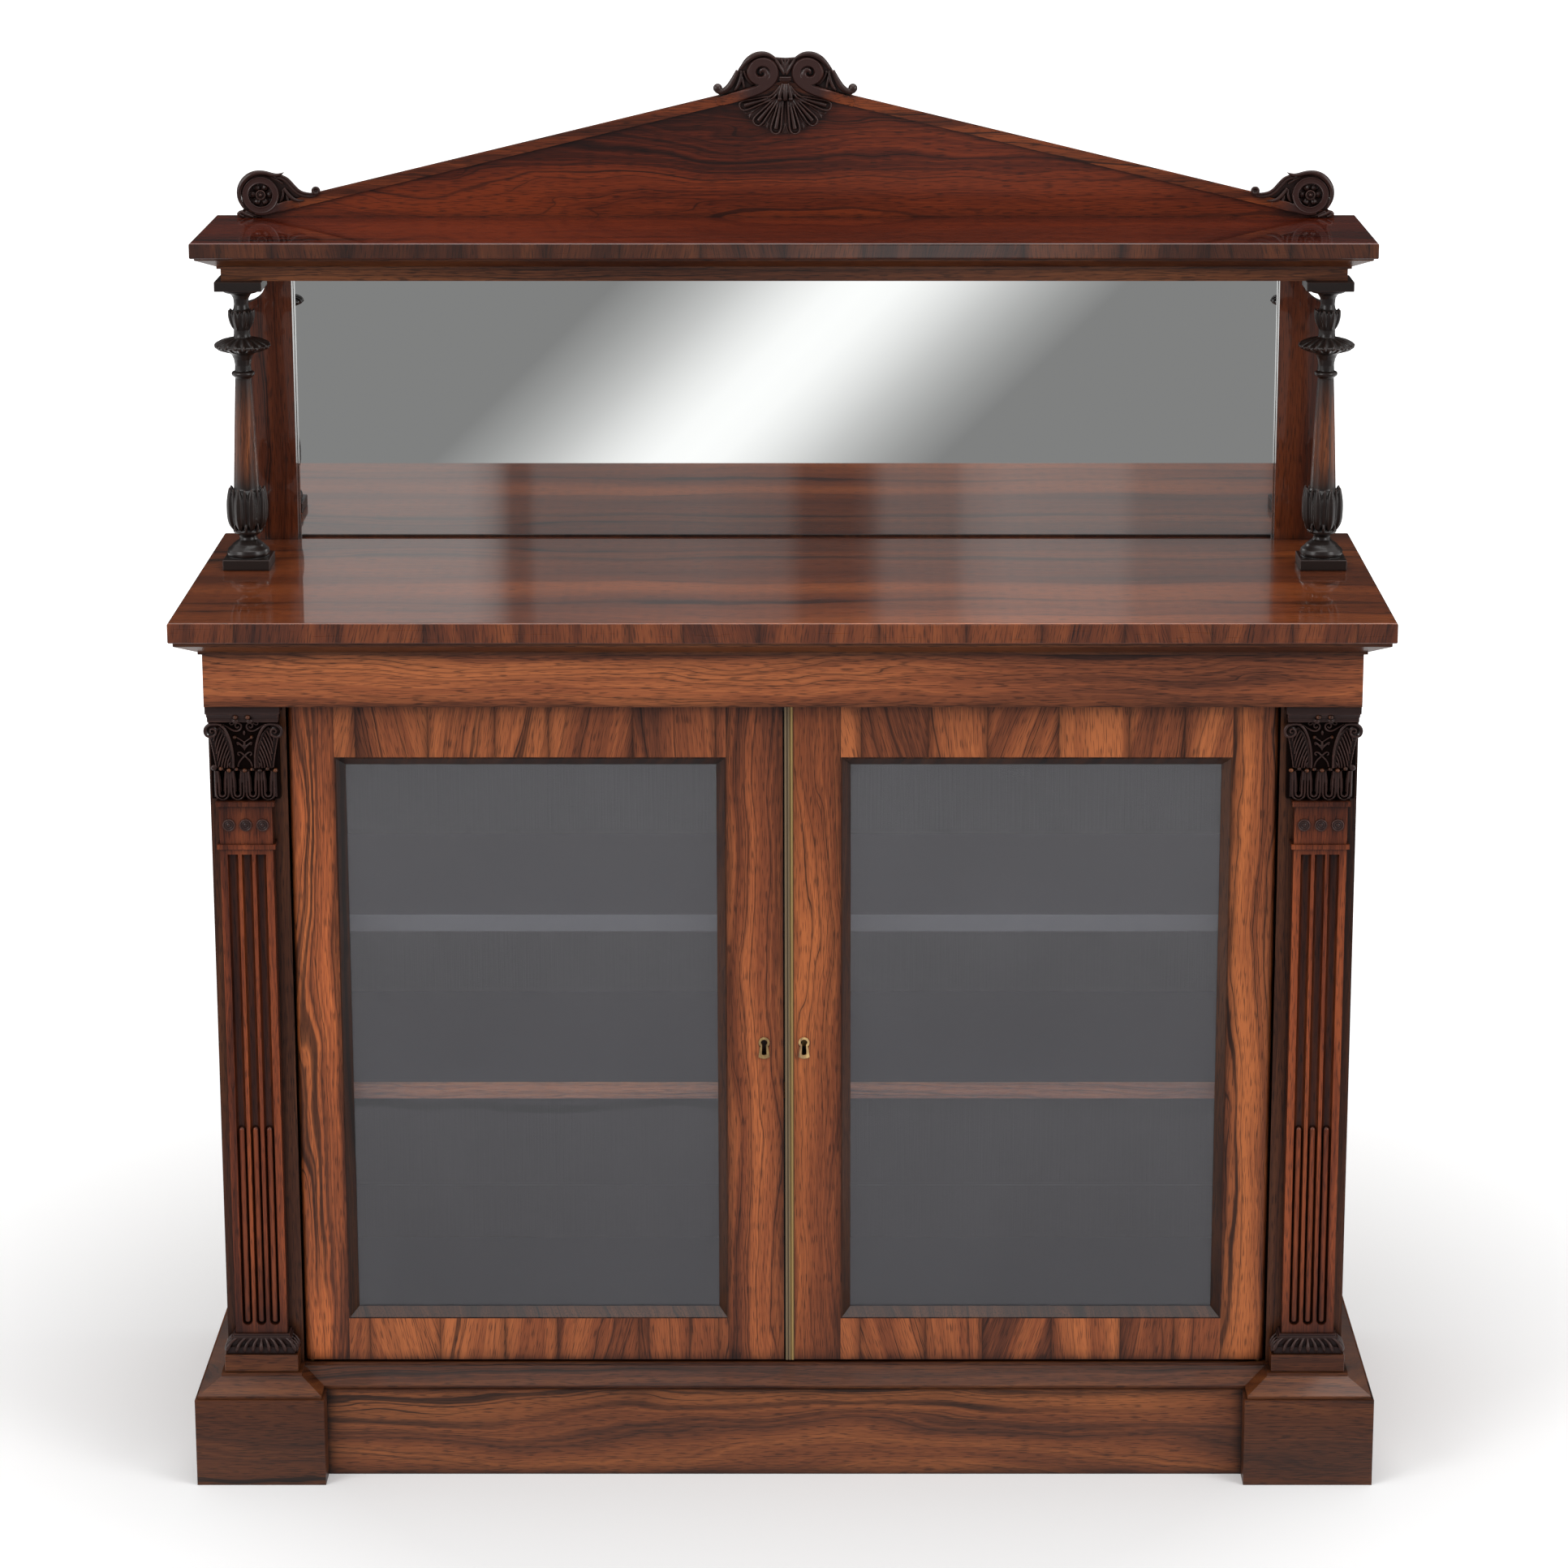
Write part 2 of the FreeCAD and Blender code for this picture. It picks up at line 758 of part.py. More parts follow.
def make_rails():
    head = block(
        "head_rail", ("-side_inner", "side_inner"), ("frieze_back", "frieze_back + rail_depth"),
        ("frieze_low", "frieze_low + rail_thickness"),
    )
    socket = rod(
        "head_socket", "door_bolt_radius + bolt_socket_clearance",
        ("-door_bolt_inset", "bolt_axis_y", "frieze_low"), "door_bolt_throw + bolt_end_gap",
    )
    keep(cut("head_rail_bored", head, [socket] + pivot_recesses("head", "frieze_low", 1)), "head_rail")
    rails = []
    spans = (
        ("frieze_back", "frieze_back + rail_depth"),
        ("back_face - rail_depth", "back_face"),
    )
    for number, span in enumerate(spans):
        rails.append(block(
            f"top_rail_{number}", ("-side_inner", "side_inner"), span,
            ("top_underside - rail_thickness", "top_underside"),
        ))
    keep(group("top_rails", rails), "top_rails")


def make_back():
    """A framed back with two panels."""
    whole = block(
        "back_whole", ("-side_inner", "side_inner"), ("back_face", "case_back"),
        ("plinth_tall", "top_underside"),
    )
    panel_z = ("floor_level + back_member_width", "top_underside - back_member_width")
    windows = []
    panels = []
    groove_y = ("case_back - (back_thickness + back_panel_thickness) / 2",
                "case_back - (back_thickness - back_panel_thickness) / 2")
    for side in (-1, 1):
        inner = f"{side} * back_member_width / 2"
        outer = f"{side} * (side_inner - back_member_width)"
        span = (inner, outer) if side > 0 else (outer, inner)
        windows.append(block(f"back_window_{side}", span, ("back_face", "case_back"), panel_z))
        panels.append(block(f"back_panel_{side}", span, groove_y, panel_z))
    keep(group("framed_back", [cut("back_frame", whole, windows)] + panels), "framed_back")


def moulding_stack(name, half, front, back, top, tall, bead, overhang):
    """Bead, slope and fillet under a board, mitred round its front and ends."""
    lip = "moulding_set_in"
    foot = f"{overhang} - moulding_return"
    levels = (
        (foot, foot, f"{top} - {tall}", f"{top} - {tall} + fillet_tall"),
        (foot, lip, f"{top} - {tall} + fillet_tall", f"{top} - {bead}"),
        (lip, lip, f"{top} - {bead}", top),
    )
    layers = []
    for number, (low_inset, high_inset, low, high) in enumerate(levels):
        shapes = []
        for inset in (low_inset, high_inset):
            across = (f"-({half} - ({inset}))", f"{half} - ({inset})")
            shapes.append((across, (f"{front} + {inset}", back)))
        layers.append(frustum(f"{name}_layer_{number}", shapes[0], shapes[1], (low, high)))
    return fused(name, layers)


def make_table_top():
    solid = moulding_stack(
        "table_moulding_solid", "top_half", "front_line", "case_back", "top_underside",
        "table_moulding_tall", "table_bead_tall", "top_overhang",
    )
    hollow = block(
        "table_moulding_hollow", ("-case_half", "case_half"), ("frieze_back", "case_back"),
        ("frieze_top", "top_underside"),
    )
    keep(cut("table_moulding", solid, [hollow]), "table_moulding")
    board = rounded_board(
        "top_board", ("-top_half", "top_half"), ("front_line", "back_line"),
        "top_underside", "top_thickness",
    )
    keep(board, "top_board")


def rounded_board(label, x, y, low, thickness):
    """A top with its front and end edges eased above and below."""
    body = doc.addObject("PartDesign::Body", unused_name(label))
    corners = [(x[0], y[0]), (x[1], y[0]), (x[1], y[1]), (x[0], y[1])]
    sketch = sketch_outline(body, label + "_outline", "XY_Plane", corners)
    pad = body.newObject("PartDesign::Pad", label + "_thickness")
    pad.Profile = sketch
    bind(pad, "Length", thickness)
    bind(body, "Placement.Base.z", low)
    doc.recompute()
    back = reading(y[1])
    flat_edges = []
    for number, edge in enumerate(pad.Shape.Edges, 1):
        level = edge.BoundBox.ZLength < hair
        along_back = edge.BoundBox.YMin > back - 1
        if level and not along_back:
            flat_edges.append(f"Edge{number}")
    easing = body.newObject("PartDesign::Fillet", label + "_easing")
    easing.Base = (pad, flat_edges)
    bind(easing, "Radius", "top_edge_round")
    return body


# ---------------------------------------------------------------- shelves inside

def make_shelves():
    bearers = []
    for word in ("upper", "lower"):
        top = f"{word}_shelf_height"
        board = block(
            f"{word}_shelf", ("-side_inner + shelf_side_gap", "side_inner - shelf_side_gap"),
            ("shelf_front", "back_face"), (f"{top} - shelf_thickness", top),
        )
        keep(board, f"{word}_shelf")
        for side in (-1, 1):
            outer = f"{side} * side_inner"
            inner = f"{side} * (side_inner - bearer_width)"
            bearers.append(block(
                f"{word}_bearer_{side}", (inner, outer) if side > 0 else (outer, inner),
                ("shelf_front + bearer_width", "back_face"),
                (f"{top} - shelf_thickness - bearer_tall", f"{top} - shelf_thickness"),
            ))
    keep(group("shelf_bearers", bearers), "shelf_bearers")


# ---------------------------------------------------------------- doors

def side_span(side, inner, outer):
    """A span of X on one side of the middle, low end first."""
    if side > 0:
        return (inner, outer)
    return (f"-({outer})", f"-({inner})")


def keyhole_shape(name, side, margin, low, high):
    """A keyhole's circle and slot, widened all round by a margin."""
    middle = f"{side} * keyhole_inset"
    eye = rod(
        name + "_eye", f"keyhole_radius + {margin}", (middle, low, "keyhole_height"),
        f"({high}) - ({low})", "y",
    )
    slot = block(
        name + "_slot",
        (f"{middle} - keyhole_slot_width / 2 - {margin}", f"{middle} + keyhole_slot_width / 2 + {margin}"),
        (low, high), (f"keyhole_height - keyhole_slot_length - {margin}", "keyhole_height"),
    )
    return fused(name, [eye, slot])


def make_door(side):
    hand = "right" if side > 0 else "left"
    make_hanging_stile(hand, side)
    make_meeting_stile(hand, side)
    make_door_rails(hand, side)
    make_glazing(hand, side)
    rim = "glass_gap"
    plate = block(
        f"{hand}_glass", side_span(side, f"opening_inner + {rim}", f"opening_outer - {rim}"),
        ("glass_face", "glass_back"), (f"opening_low + {rim}", f"opening_high - {rim}"),
    )
    keep(plate, f"{hand}_door_glass")
    bead_solid = block(
        f"{hand}_bead_solid", side_span(side, "opening_inner", "opening_outer"),
        ("glass_back", "glass_back + bead_thickness"), ("opening_low", "opening_high"),
    )
    bead_window = block(
        f"{hand}_bead_window",
        side_span(side, "opening_inner + bead_width", "opening_outer - bead_width"),
        ("glass_back", "glass_back + bead_thickness"),
        ("opening_low + bead_width", "opening_high - bead_width"),
    )
    keep(cut(f"{hand}_bead", bead_solid, [bead_window]), f"{hand}_door_glass_bead")
    outer = keyhole_shape(
        f"{hand}_escutcheon_solid", side, "escutcheon_wall", "stile_face - escutcheon_proud",
        "stile_face + escutcheon_depth",
    )
    inner = keyhole_shape(
        f"{hand}_escutcheon_hole", side, "0", "stile_face - escutcheon_proud",
        "stile_face + escutcheon_depth",
    )
    keep(cut(f"{hand}_escutcheon", outer, [inner]), f"{hand}_escutcheon")
    make_door_pivots(hand, side)


def hanging_stile_corners(side):
    """The stile in plan, with its front outer edge rounded about the pivot."""
    edge = f"{side} * door_outer"
    pivot = f"{side} * pivot_x"
    inner = f"{side} * opening_outer"
    # the height of a quarter circle over its chord
    quarter = (math.sqrt(2) - 1) / 2
    if side > 0:
        return [
            (inner, "stile_face"),
            (pivot, "stile_face", quarter),
            (edge, "pivot_y"),
            (edge, "door_back"),
            (inner, "door_back"),
        ]
    return [
        (inner, "door_back"),
        (edge, "door_back"),
        (edge, "pivot_y", quarter),
        (pivot, "stile_face"),
        (inner, "stile_face"),
    ]


def mortises(hand, side, inner, outer):
    """Sockets in a stile for the tenons of both rails."""
    thickness = tenon_span()
    holes = []
    for word, low, high in tenon_heights():
        holes.append(block(f"{hand}_{word}_{inner}_mortise", side_span(side, inner, outer), thickness,
                           (low, high)))
    return holes


def tenon_span():
    middle = "(stile_face + door_back) / 2"
    return (f"{middle} - tenon_thickness / 2", f"{middle} + tenon_thickness / 2")


def tenon_heights():
    return (
        ("top", "opening_high + tenon_shoulder", "door_high - tenon_shoulder"),
        ("bottom", "door_low + tenon_shoulder", "opening_low - tenon_shoulder"),
    )


def make_hanging_stile(hand, side):
    stile = padded(
        f"{hand}_hanging_stile", "XY_Plane", hanging_stile_corners(side), "door_low", "door_high",
    )
    seats = []
    for word, level, direction in (("low", "door_low", 1), ("high", "door_high", -1)):
        seats.append(pivot_plate(f"{hand}_{word}_door_seat", side, level, direction))
        bore_low = level if direction > 0 else f"{level} - pivot_pin_reach"
        seats.append(rod(
            f"{hand}_{word}_pin_bore", "pivot_pin_radius + pivot_bore_clearance",
            (f"{side} * pivot_x", "pivot_y", bore_low), "pivot_pin_reach",
        ))
    holes = mortises(hand, side, "opening_outer", "opening_outer + tenon_length")
    keep(cut(f"{hand}_hanging_stile_cut", stile, seats + holes), f"{hand}_door_hanging_stile")


def make_meeting_stile(hand, side):
    stile = block(
        f"{hand}_meeting_stile", side_span(side, "door_inner", "opening_inner"),
        ("stile_face", "door_back"), ("door_low", "door_high"),
    )
    holes = mortises(hand, side, "opening_inner - tenon_length", "opening_inner")
    holes.append(keyhole_shape(
        f"{hand}_keyhole_rim", side, "escutcheon_wall", "stile_face", "stile_face + escutcheon_depth",
    ))
    if side > 0:
        holes.append(keyhole_shape(f"{hand}_keyhole", side, "0", "stile_face", "lock_front"))
        holes.append(block(
            "lock_recess", ("door_inner", "door_inner + lock_length"), ("lock_front", "door_back"),
            ("lock_low", "lock_low + lock_tall"),
        ))
    else:
        holes.append(keyhole_shape(
            f"{hand}_keyhole", side, "0", "stile_face", "stile_face + keyhole_blind_depth",
        ))
        holes.append(strike_hole())
    keep(cut(f"{hand}_meeting_stile_cut", stile, holes), f"{hand}_door_meeting_stile")


def bolt_section(margin):
    """The Y and Z spans of the lock bolt, widened all round by a margin."""
    middle = "(lock_front + door_back) / 2"
    return (
        (f"{middle} - lock_bolt_thickness / 2 - {margin}", f"{middle} + lock_bolt_thickness / 2 + {margin}"),
        (f"keyhole_height - lock_bolt_tall / 2 - {margin}", f"keyhole_height + lock_bolt_tall / 2 + {margin}"),
    )


def strike_hole():
    y, z = bolt_section("lock_bolt_clearance")
    return block("strike", ("-door_inner - strike_depth", "-door_inner"), y, z)


def make_door_rails(hand, side):
    spans = {"top": ("opening_high", "door_high"), "bottom": ("door_low", "opening_low")}
    rails = []
    for word, low, high in tenon_heights():
        bar = block(
            f"{hand}_{word}_rail_bar", side_span(side, "opening_inner", "opening_outer"),
            ("stile_face", "door_back"), spans[word],
        )
        tenon = block(
            f"{hand}_{word}_rail_tenon",
            side_span(side, "opening_inner - tenon_length", "opening_outer + tenon_length"),
            tenon_span(), (low, high),
        )
        rails.append(fused(f"{hand}_{word}_rail", [bar, tenon]))
    keep(group(f"{hand}_door_rails", rails), f"{hand}_door_rails")


def make_glazing(hand, side):
    """The bevelled moulding that lines the opening in front of the pane."""
    solid = block(
        f"{hand}_glazing_solid", side_span(side, "opening_inner", "opening_outer"),
        ("stile_face", "glass_face"), ("opening_low", "opening_high"),
    )
    bevel = doc.addObject("Part::Wedge", unused_name(f"{hand}_glazing_bevel"))
    wide = side_span(side, "opening_inner + glazing_lip", "opening_outer - glazing_lip")
    narrow = side_span(side, "opening_inner + glazing_width", "opening_outer - glazing_width")
    bind(bevel, "Ymin", "stile_face")
    bind(bevel, "Ymax", "glass_face")
    bind(bevel, "Xmin", wide[0])
    bind(bevel, "Xmax", wide[1])
    bind(bevel, "X2min", narrow[0])
    bind(bevel, "X2max", narrow[1])
    bind(bevel, "Zmin", "opening_low + glazing_lip")
    bind(bevel, "Zmax", "opening_high - glazing_lip")
    bind(bevel, "Z2min", "opening_low + glazing_width")
    bind(bevel, "Z2max", "opening_high - glazing_width")
    keep(cut(f"{hand}_glazing", solid, [bevel]), f"{hand}_door_glazing_moulding")


def make_door_pivots(hand, side):
    """Brass plates with pin holes, sunk in the top and bottom of the door."""
    plates = []
    for word, level, direction in (("low", "door_low", 1), ("high", "door_high", -1)):
        plate = pivot_plate(f"{hand}_{word}_door_plate", side, level, direction)
        low = level if direction > 0 else f"{level} - pivot_plate_thickness"
        hole = rod(
            f"{hand}_{word}_door_plate_hole", "pivot_pin_radius + pivot_clearance",
            (f"{side} * pivot_x", "pivot_y", low), "pivot_plate_thickness",
        )
        plates.append(cut(f"{hand}_{word}_door_plate_bored", plate, [hole]))
    keep(group(f"{hand}_door_pivot_plates", plates), f"{hand}_door_pivot_plates")


def make_meeting_strip():
    """A reeded brass strip that covers the right-hand door's meeting edge."""
    backing = block(
        "strip_backing", ("door_inner", "door_inner + strip_width"),
        ("stile_face - strip_proud / 2", "stile_face"), ("door_low", "door_high"),
    )
    reeds = []
    for number in range(int(size("strip_reed_count"))):
        reeds.append(rod(
            f"strip_reed_{number}", "strip_proud / 2",
            (f"door_inner + strip_width * {number + 0.5} / strip_reed_count",
             "stile_face - strip_proud / 2", "door_low"),
            "door_high - door_low",
        ))
    keep(fused("meeting_strip", [backing] + reeds), "brass_meeting_strip")


def make_lock():
    case = block(
        "lock_case_solid", ("door_inner", "door_inner + lock_length"), ("lock_front", "door_back"),
        ("lock_low", "lock_low + lock_tall"),
    )
    cavity = block(
        "lock_cavity", ("door_inner + lock_wall", "door_inner + lock_length - lock_wall"),
        ("lock_front + lock_wall", "door_back - lock_wall"),
        ("lock_low + lock_wall", "lock_low + lock_tall - lock_wall"),
    )
    y, z = bolt_section("lock_bolt_clearance / 4")
    mouth = block("lock_mouth", ("door_inner", "door_inner + lock_wall"), y, z)
    keyway = keyhole_shape("lock_keyway", 1, "0", "lock_front", "lock_front + lock_wall")
    pin = rod(
        "key_pin", "key_pin_radius", ("keyhole_inset", "door_back - key_pin_length", "keyhole_height"),
        "key_pin_length - lock_wall", "y",
    )
    hollow_case = cut("lock_case_hollow", case, [cavity, mouth, keyway])
    keep(fused("lock_case", [hollow_case, pin]), "lock_case")
    y, z = bolt_section("0")
    bolt = block(
        "lock_bolt_bar",
        ("door_inner + lock_bolt_clearance", "door_inner + lock_bolt_clearance + lock_bolt_length"), y, z,
    )
    travel = "lock_bolt_throw + key_pin_radius + lock_bolt_clearance"
    slot = block(
        "lock_bolt_slot", ("keyhole_inset - key_pin_radius - lock_bolt_clearance", f"keyhole_inset + {travel}"),
        y, ("keyhole_height - key_pin_radius - lock_bolt_clearance",
            "keyhole_height + key_pin_radius + lock_bolt_clearance"),
    )
    keep(cut("lock_bolt", bolt, [slot]), "lock_bolt")


def make_door_bolts():
    """Upper and lower brass bolts on the back of the left-hand door."""
    plates = []
    for word, edge, way in (("top", "door_high", -1), ("bottom", "door_low", 1)):
        at = ("-door_bolt_inset", "bolt_axis_y")
        end = f"{edge} + {way} * bolt_end_gap"
        rod_low = end if way > 0 else f"{end} - door_bolt_length"
        bar = rod(f"{word}_bolt_bar", "door_bolt_radius", at + (rod_low,), "door_bolt_length")
        knob_height = f"{edge} + {way} * (bolt_plate_length / 2 + door_bolt_throw / 2)"
        knob = rod(
            f"{word}_bolt_knob", "bolt_knob_radius", at + (knob_height,), "bolt_knob_reach", "y",
        )
        keep(fused(f"{word}_bolt", [bar, knob]), f"{word}_door_bolt")
        plates.append(bolt_plate(word, edge, way, at))
    keep(group("door_bolt_plates", plates), "door_bolt_plates")


def bolt_plate(word, edge, way, at):
    """A back plate with two guides that hold a bolt."""
    across = ("-door_bolt_inset - bolt_plate_width / 2", "-door_bolt_inset + bolt_plate_width / 2")
    first = f"{edge} + {way} * bolt_guide_tall / 2"
    last = f"{edge} + {way} * (bolt_plate_length + bolt_guide_tall / 2)"
    z = (first, last) if way > 0 else (last, first)
    pieces = [block(f"{word}_bolt_plate_back", across, ("door_back", "door_back + bolt_plate_thickness"), z)]
    for number, start in enumerate((first, f"{last} - {way} * bolt_guide_tall")):
        stop = f"{start} + {way} * bolt_guide_tall"
        span = (start, stop) if way > 0 else (stop, start)
        pieces.append(block(
            f"{word}_bolt_guide_{number}",
            ("-door_bolt_inset - bolt_plate_width / 3", "-door_bolt_inset + bolt_plate_width / 3"),
            ("door_back + bolt_plate_thickness", "bolt_axis_y + door_bolt_radius + bolt_plate_thickness"),
            span,
        ))
    whole = fused(f"{word}_bolt_plate", pieces)
    hole = rod(
        f"{word}_bolt_plate_hole", "door_bolt_radius + door_bolt_clearance", at + (z[0],),
        "bolt_plate_length",
    )
    return cut(f"{word}_bolt_plate_bored", whole, [hole])


# ---------------------------------------------------------------- pilasters

def centred(width):
    """A span of X as wide as the formula, about the right-hand pilaster."""
    return (f"pilaster_x - ({width}) / 2", f"pilaster_x + ({width}) / 2")


def proud(depth):
    """A span of Y from a face this far in front of the corner stile."""
    return (f"stile_face - ({depth})", "stile_face")


def make_pilasters():
    make_pilaster_foot()
    make_pilaster_shaft()
    make_capital()


def make_pilaster_foot():
    base = block("foot_base", centred("foot_width"), proud("foot_proud"), ("floor_level", "collar_low"))
    groove = block(
        "foot_groove", centred("foot_width - 2 * collar_groove"), proud("foot_proud - collar_groove"),
        ("collar_low", "collar_low + collar_groove"),
    )
    belly = "collar_low + collar_tall / 3"
    lower = frustum(
        "collar_lower",
        (centred("foot_width - collar_groove"), proud("foot_proud - collar_groove / 2")),
        (centred("foot_width + 2 * collar_bulge"), proud("foot_proud + collar_bulge")),
        ("collar_low + collar_groove", belly),
    )
    upper = frustum(
        "collar_upper",
        (centred("foot_width + 2 * collar_bulge"), proud("foot_proud + collar_bulge")),
        (centred("shaft_width + 2 * shaft_slope"), proud("shaft_proud + shaft_slope")),
        (belly, "shaft_low - shaft_slope / 2"),
    )
    seat = frustum(
        "collar_seat",
        (centred("shaft_width + 2 * shaft_slope"), proud("shaft_proud + shaft_slope")),
        (centred("shaft_width"), proud("shaft_proud")),
        ("shaft_low - shaft_slope / 2", "shaft_low"),
    )
    keep_pair(fused("pilaster_foot", [base, groove, lower, upper, seat]), "pilaster_foot")


def make_pilaster_shaft():
    """Three stopped flutes with cables in their lower part, a neck and astragals."""
    shaft = block("shaft_bar", centred("shaft_width"), proud("shaft_proud"), ("shaft_low", "capital_low"))
    flutes = []
    cables = []
    flute_low = "shaft_low + flute_low_margin"
    for number in (-1, 0, 1):
        x = f"pilaster_x + {number} * flute_pitch"
        low = f"{flute_low} + flute_width / 2"
        flutes.append(rod(
            f"flute_{number}", "flute_width / 2", (x, "shaft_front", low),
            f"shaft_high - flute_high_margin - ({low})",
        ))
        flutes.append(ball(f"flute_end_{number}", "flute_width / 2", (x, "shaft_front", low)))
        sunk = "shaft_front + flute_width / 2 - cable_radius / 2"
        cables.append(rod(f"cable_{number}", "cable_radius", (x, sunk, low), "cable_length - cable_radius"))
        cables.append(ball(f"cable_end_{number}", "cable_radius", (x, sunk, f"{low} + cable_length - cable_radius")))
        cables.append(ball(f"cable_foot_{number}", "cable_radius", (x, sunk, low)))
    fluted = cut("shaft_fluted", shaft, flutes)
    trims = []
    for word, low in (("low", "shaft_high"), ("high", "capital_low - astragal_tall")):
        trims.append(block(
            f"astragal_{word}", centred("shaft_width + 2 * astragal_proud"),
            proud("shaft_proud + astragal_proud"), (low, f"{low} + astragal_tall"),
        ))
    for number in (-1, 0, 1):
        trims.append(rod(
            f"roundel_{number}", "roundel_radius",
            (f"pilaster_x + {number} * roundel_pitch", "shaft_front - roundel_proud",
             "neck_low + neck_tall / 2"),
            "roundel_proud * 2", "y",
        ))
    keep_pair(fused("pilaster_shaft", [fluted] + cables + trims), "pilaster_shaft")


def make_capital():
    pieces = []
    band_top = "capital_low + lotus_band_tall"
    pieces.append(block("lotus_band", centred("lotus_band_width"), proud("lotus_band_proud - 3"),
                        ("capital_low", band_top)))
    for number in range(4):
        x = f"pilaster_x + {number - 1.5} * lotus_loop_pitch"
        low = "capital_low + lotus_loop_radius"
        front = "stile_face - lotus_band_proud"
        pieces.append(rod(f"lotus_loop_{number}", "lotus_loop_radius", (x, front, low), "lotus_band_proud", "y"))
        pieces.append(block(
            f"lotus_leaf_{number}", (f"{x} - lotus_loop_radius", f"{x} + lotus_loop_radius"),
            (front, "stile_face"), (low, band_top),
        ))
    volute_z = "frieze_low - abacus_tall - volute_radius"
    pieces.append(block("capital_bell", centred("bell_width"), proud("bell_proud"),
                        (band_top, "frieze_low - abacus_tall")))
    for side in (-1, 1):
        x = f"pilaster_x + {side} * volute_spread"
        pieces.append(rod(f"capital_volute_{side}", "volute_radius", (x, "stile_face - volute_proud", volute_z),
                          "volute_proud", "y"))
        plume = [
            (f"pilaster_x + {side} * bell_width / 2", band_top),
            (f"pilaster_x + {side} * lotus_band_width / 2", band_top),
            (f"pilaster_x + {side} * volute_spread", volute_z),
            (f"pilaster_x + {side} * bell_width / 2", volute_z),
        ]
        if side < 0:
            plume.reverse()
        pieces.append(padded(f"capital_plume_{side}", "XZ_Plane", plume, "stile_face - lotus_band_proud + 3",
                             "stile_face"))
    pieces.append(frustum(
        "capital_abacus",
        (centred("abacus_width"), proud("abacus_proud - abacus_flare")),
        (centred("abacus_width + 2 * abacus_flare"), proud("abacus_proud")),
        ("frieze_low - abacus_tall", "frieze_low"),
    ))
    keep_pair(fused("pilaster_capital", pieces), "pilaster_capital")


# ---------------------------------------------------------------- gallery

def make_gallery():
    make_columns()
    solid = moulding_stack(
        "gallery_moulding_solid", "gallery_half", "gallery_front", "case_back", "gallery_underside",
        "gallery_moulding_tall", "gallery_bead_tall", "gallery_overhang",
    )
    inner_half = "gallery_case_half - gallery_frieze_thickness"
    inner_front = "gallery_case_front + gallery_frieze_thickness"
    hollow = block(
        "gallery_moulding_hollow", (f"-({inner_half})", inner_half), (inner_front, "case_back"),
        ("gallery_frieze_top", "gallery_underside"),
    )
    keep(cut("gallery_moulding", solid, [hollow]), "gallery_moulding")
    frieze = block(
        "gallery_frieze_solid", ("-gallery_case_half", "gallery_case_half"),
        ("gallery_case_front", "case_back"), ("gallery_frieze_low", "gallery_frieze_top"),
    )
    frieze_hollow = block(
        "gallery_frieze_hollow", (f"-({inner_half})", inner_half), (inner_front, "case_back"),
        ("gallery_frieze_low", "gallery_frieze_top"),
    )
    keep(cut("gallery_frieze", frieze, [frieze_hollow]), "gallery_frieze")
    shelf = rounded_board(
        "gallery_shelf", ("-gallery_half", "gallery_half"), ("gallery_front", "back_line"),
        "gallery_underside", "gallery_thickness",
    )
    keep(shelf, "gallery_shelf")
    make_mirror()


def make_mirror():
    scoop_top = "gallery_underside - upright_scoop_drop"
    scoop_x = "upright_inner + upright_top_width"
    outline = [
        ("upright_inner", "table_height"),
        ("upright_outer", "table_height"),
        ("upright_outer", f"{scoop_top} - upright_scoop_radius", -0.2),
        (scoop_x, scoop_top),
        (scoop_x, "gallery_underside"),
        ("upright_inner", "gallery_underside"),
    ]
    upright = padded("gallery_upright", "XZ_Plane", outline, "upright_front", "backboard_face")
    keep(pair("gallery_uprights", upright), "gallery_uprights")
    plate = block(
        "mirror", ("-upright_inner + mirror_edge_gap", "upright_inner - mirror_edge_gap"),
        ("backboard_face - mirror_thickness", "backboard_face"), ("table_height", "gallery_underside"),
    )
    keep(plate, "mirror_plate")
    board = block(
        "backboard", ("-upright_inner - backboard_lap", "upright_inner + backboard_lap"),
        ("backboard_face", "case_back"), ("table_height", "gallery_underside"),
    )
    keep(board, "mirror_backboard")


def climb(start, members):
    """Corners of a half profile that climbs from a level through its members.

    A member is (radius, step) or (radius, step, bulge): turn to the radius at
    the level reached, then climb by the step, bending the way by the bulge.
    Steps are drawn for the pattern's height and stretch with the column.
    """
    level = start
    corners = [("0", level)]
    for radius, step, *bend in members:
        corners.append((radius, level, *bend))
        if step != "0":
            level = f"{level} + ({step}) * column_stretch"
    corners.append(("0", level))
    return corners


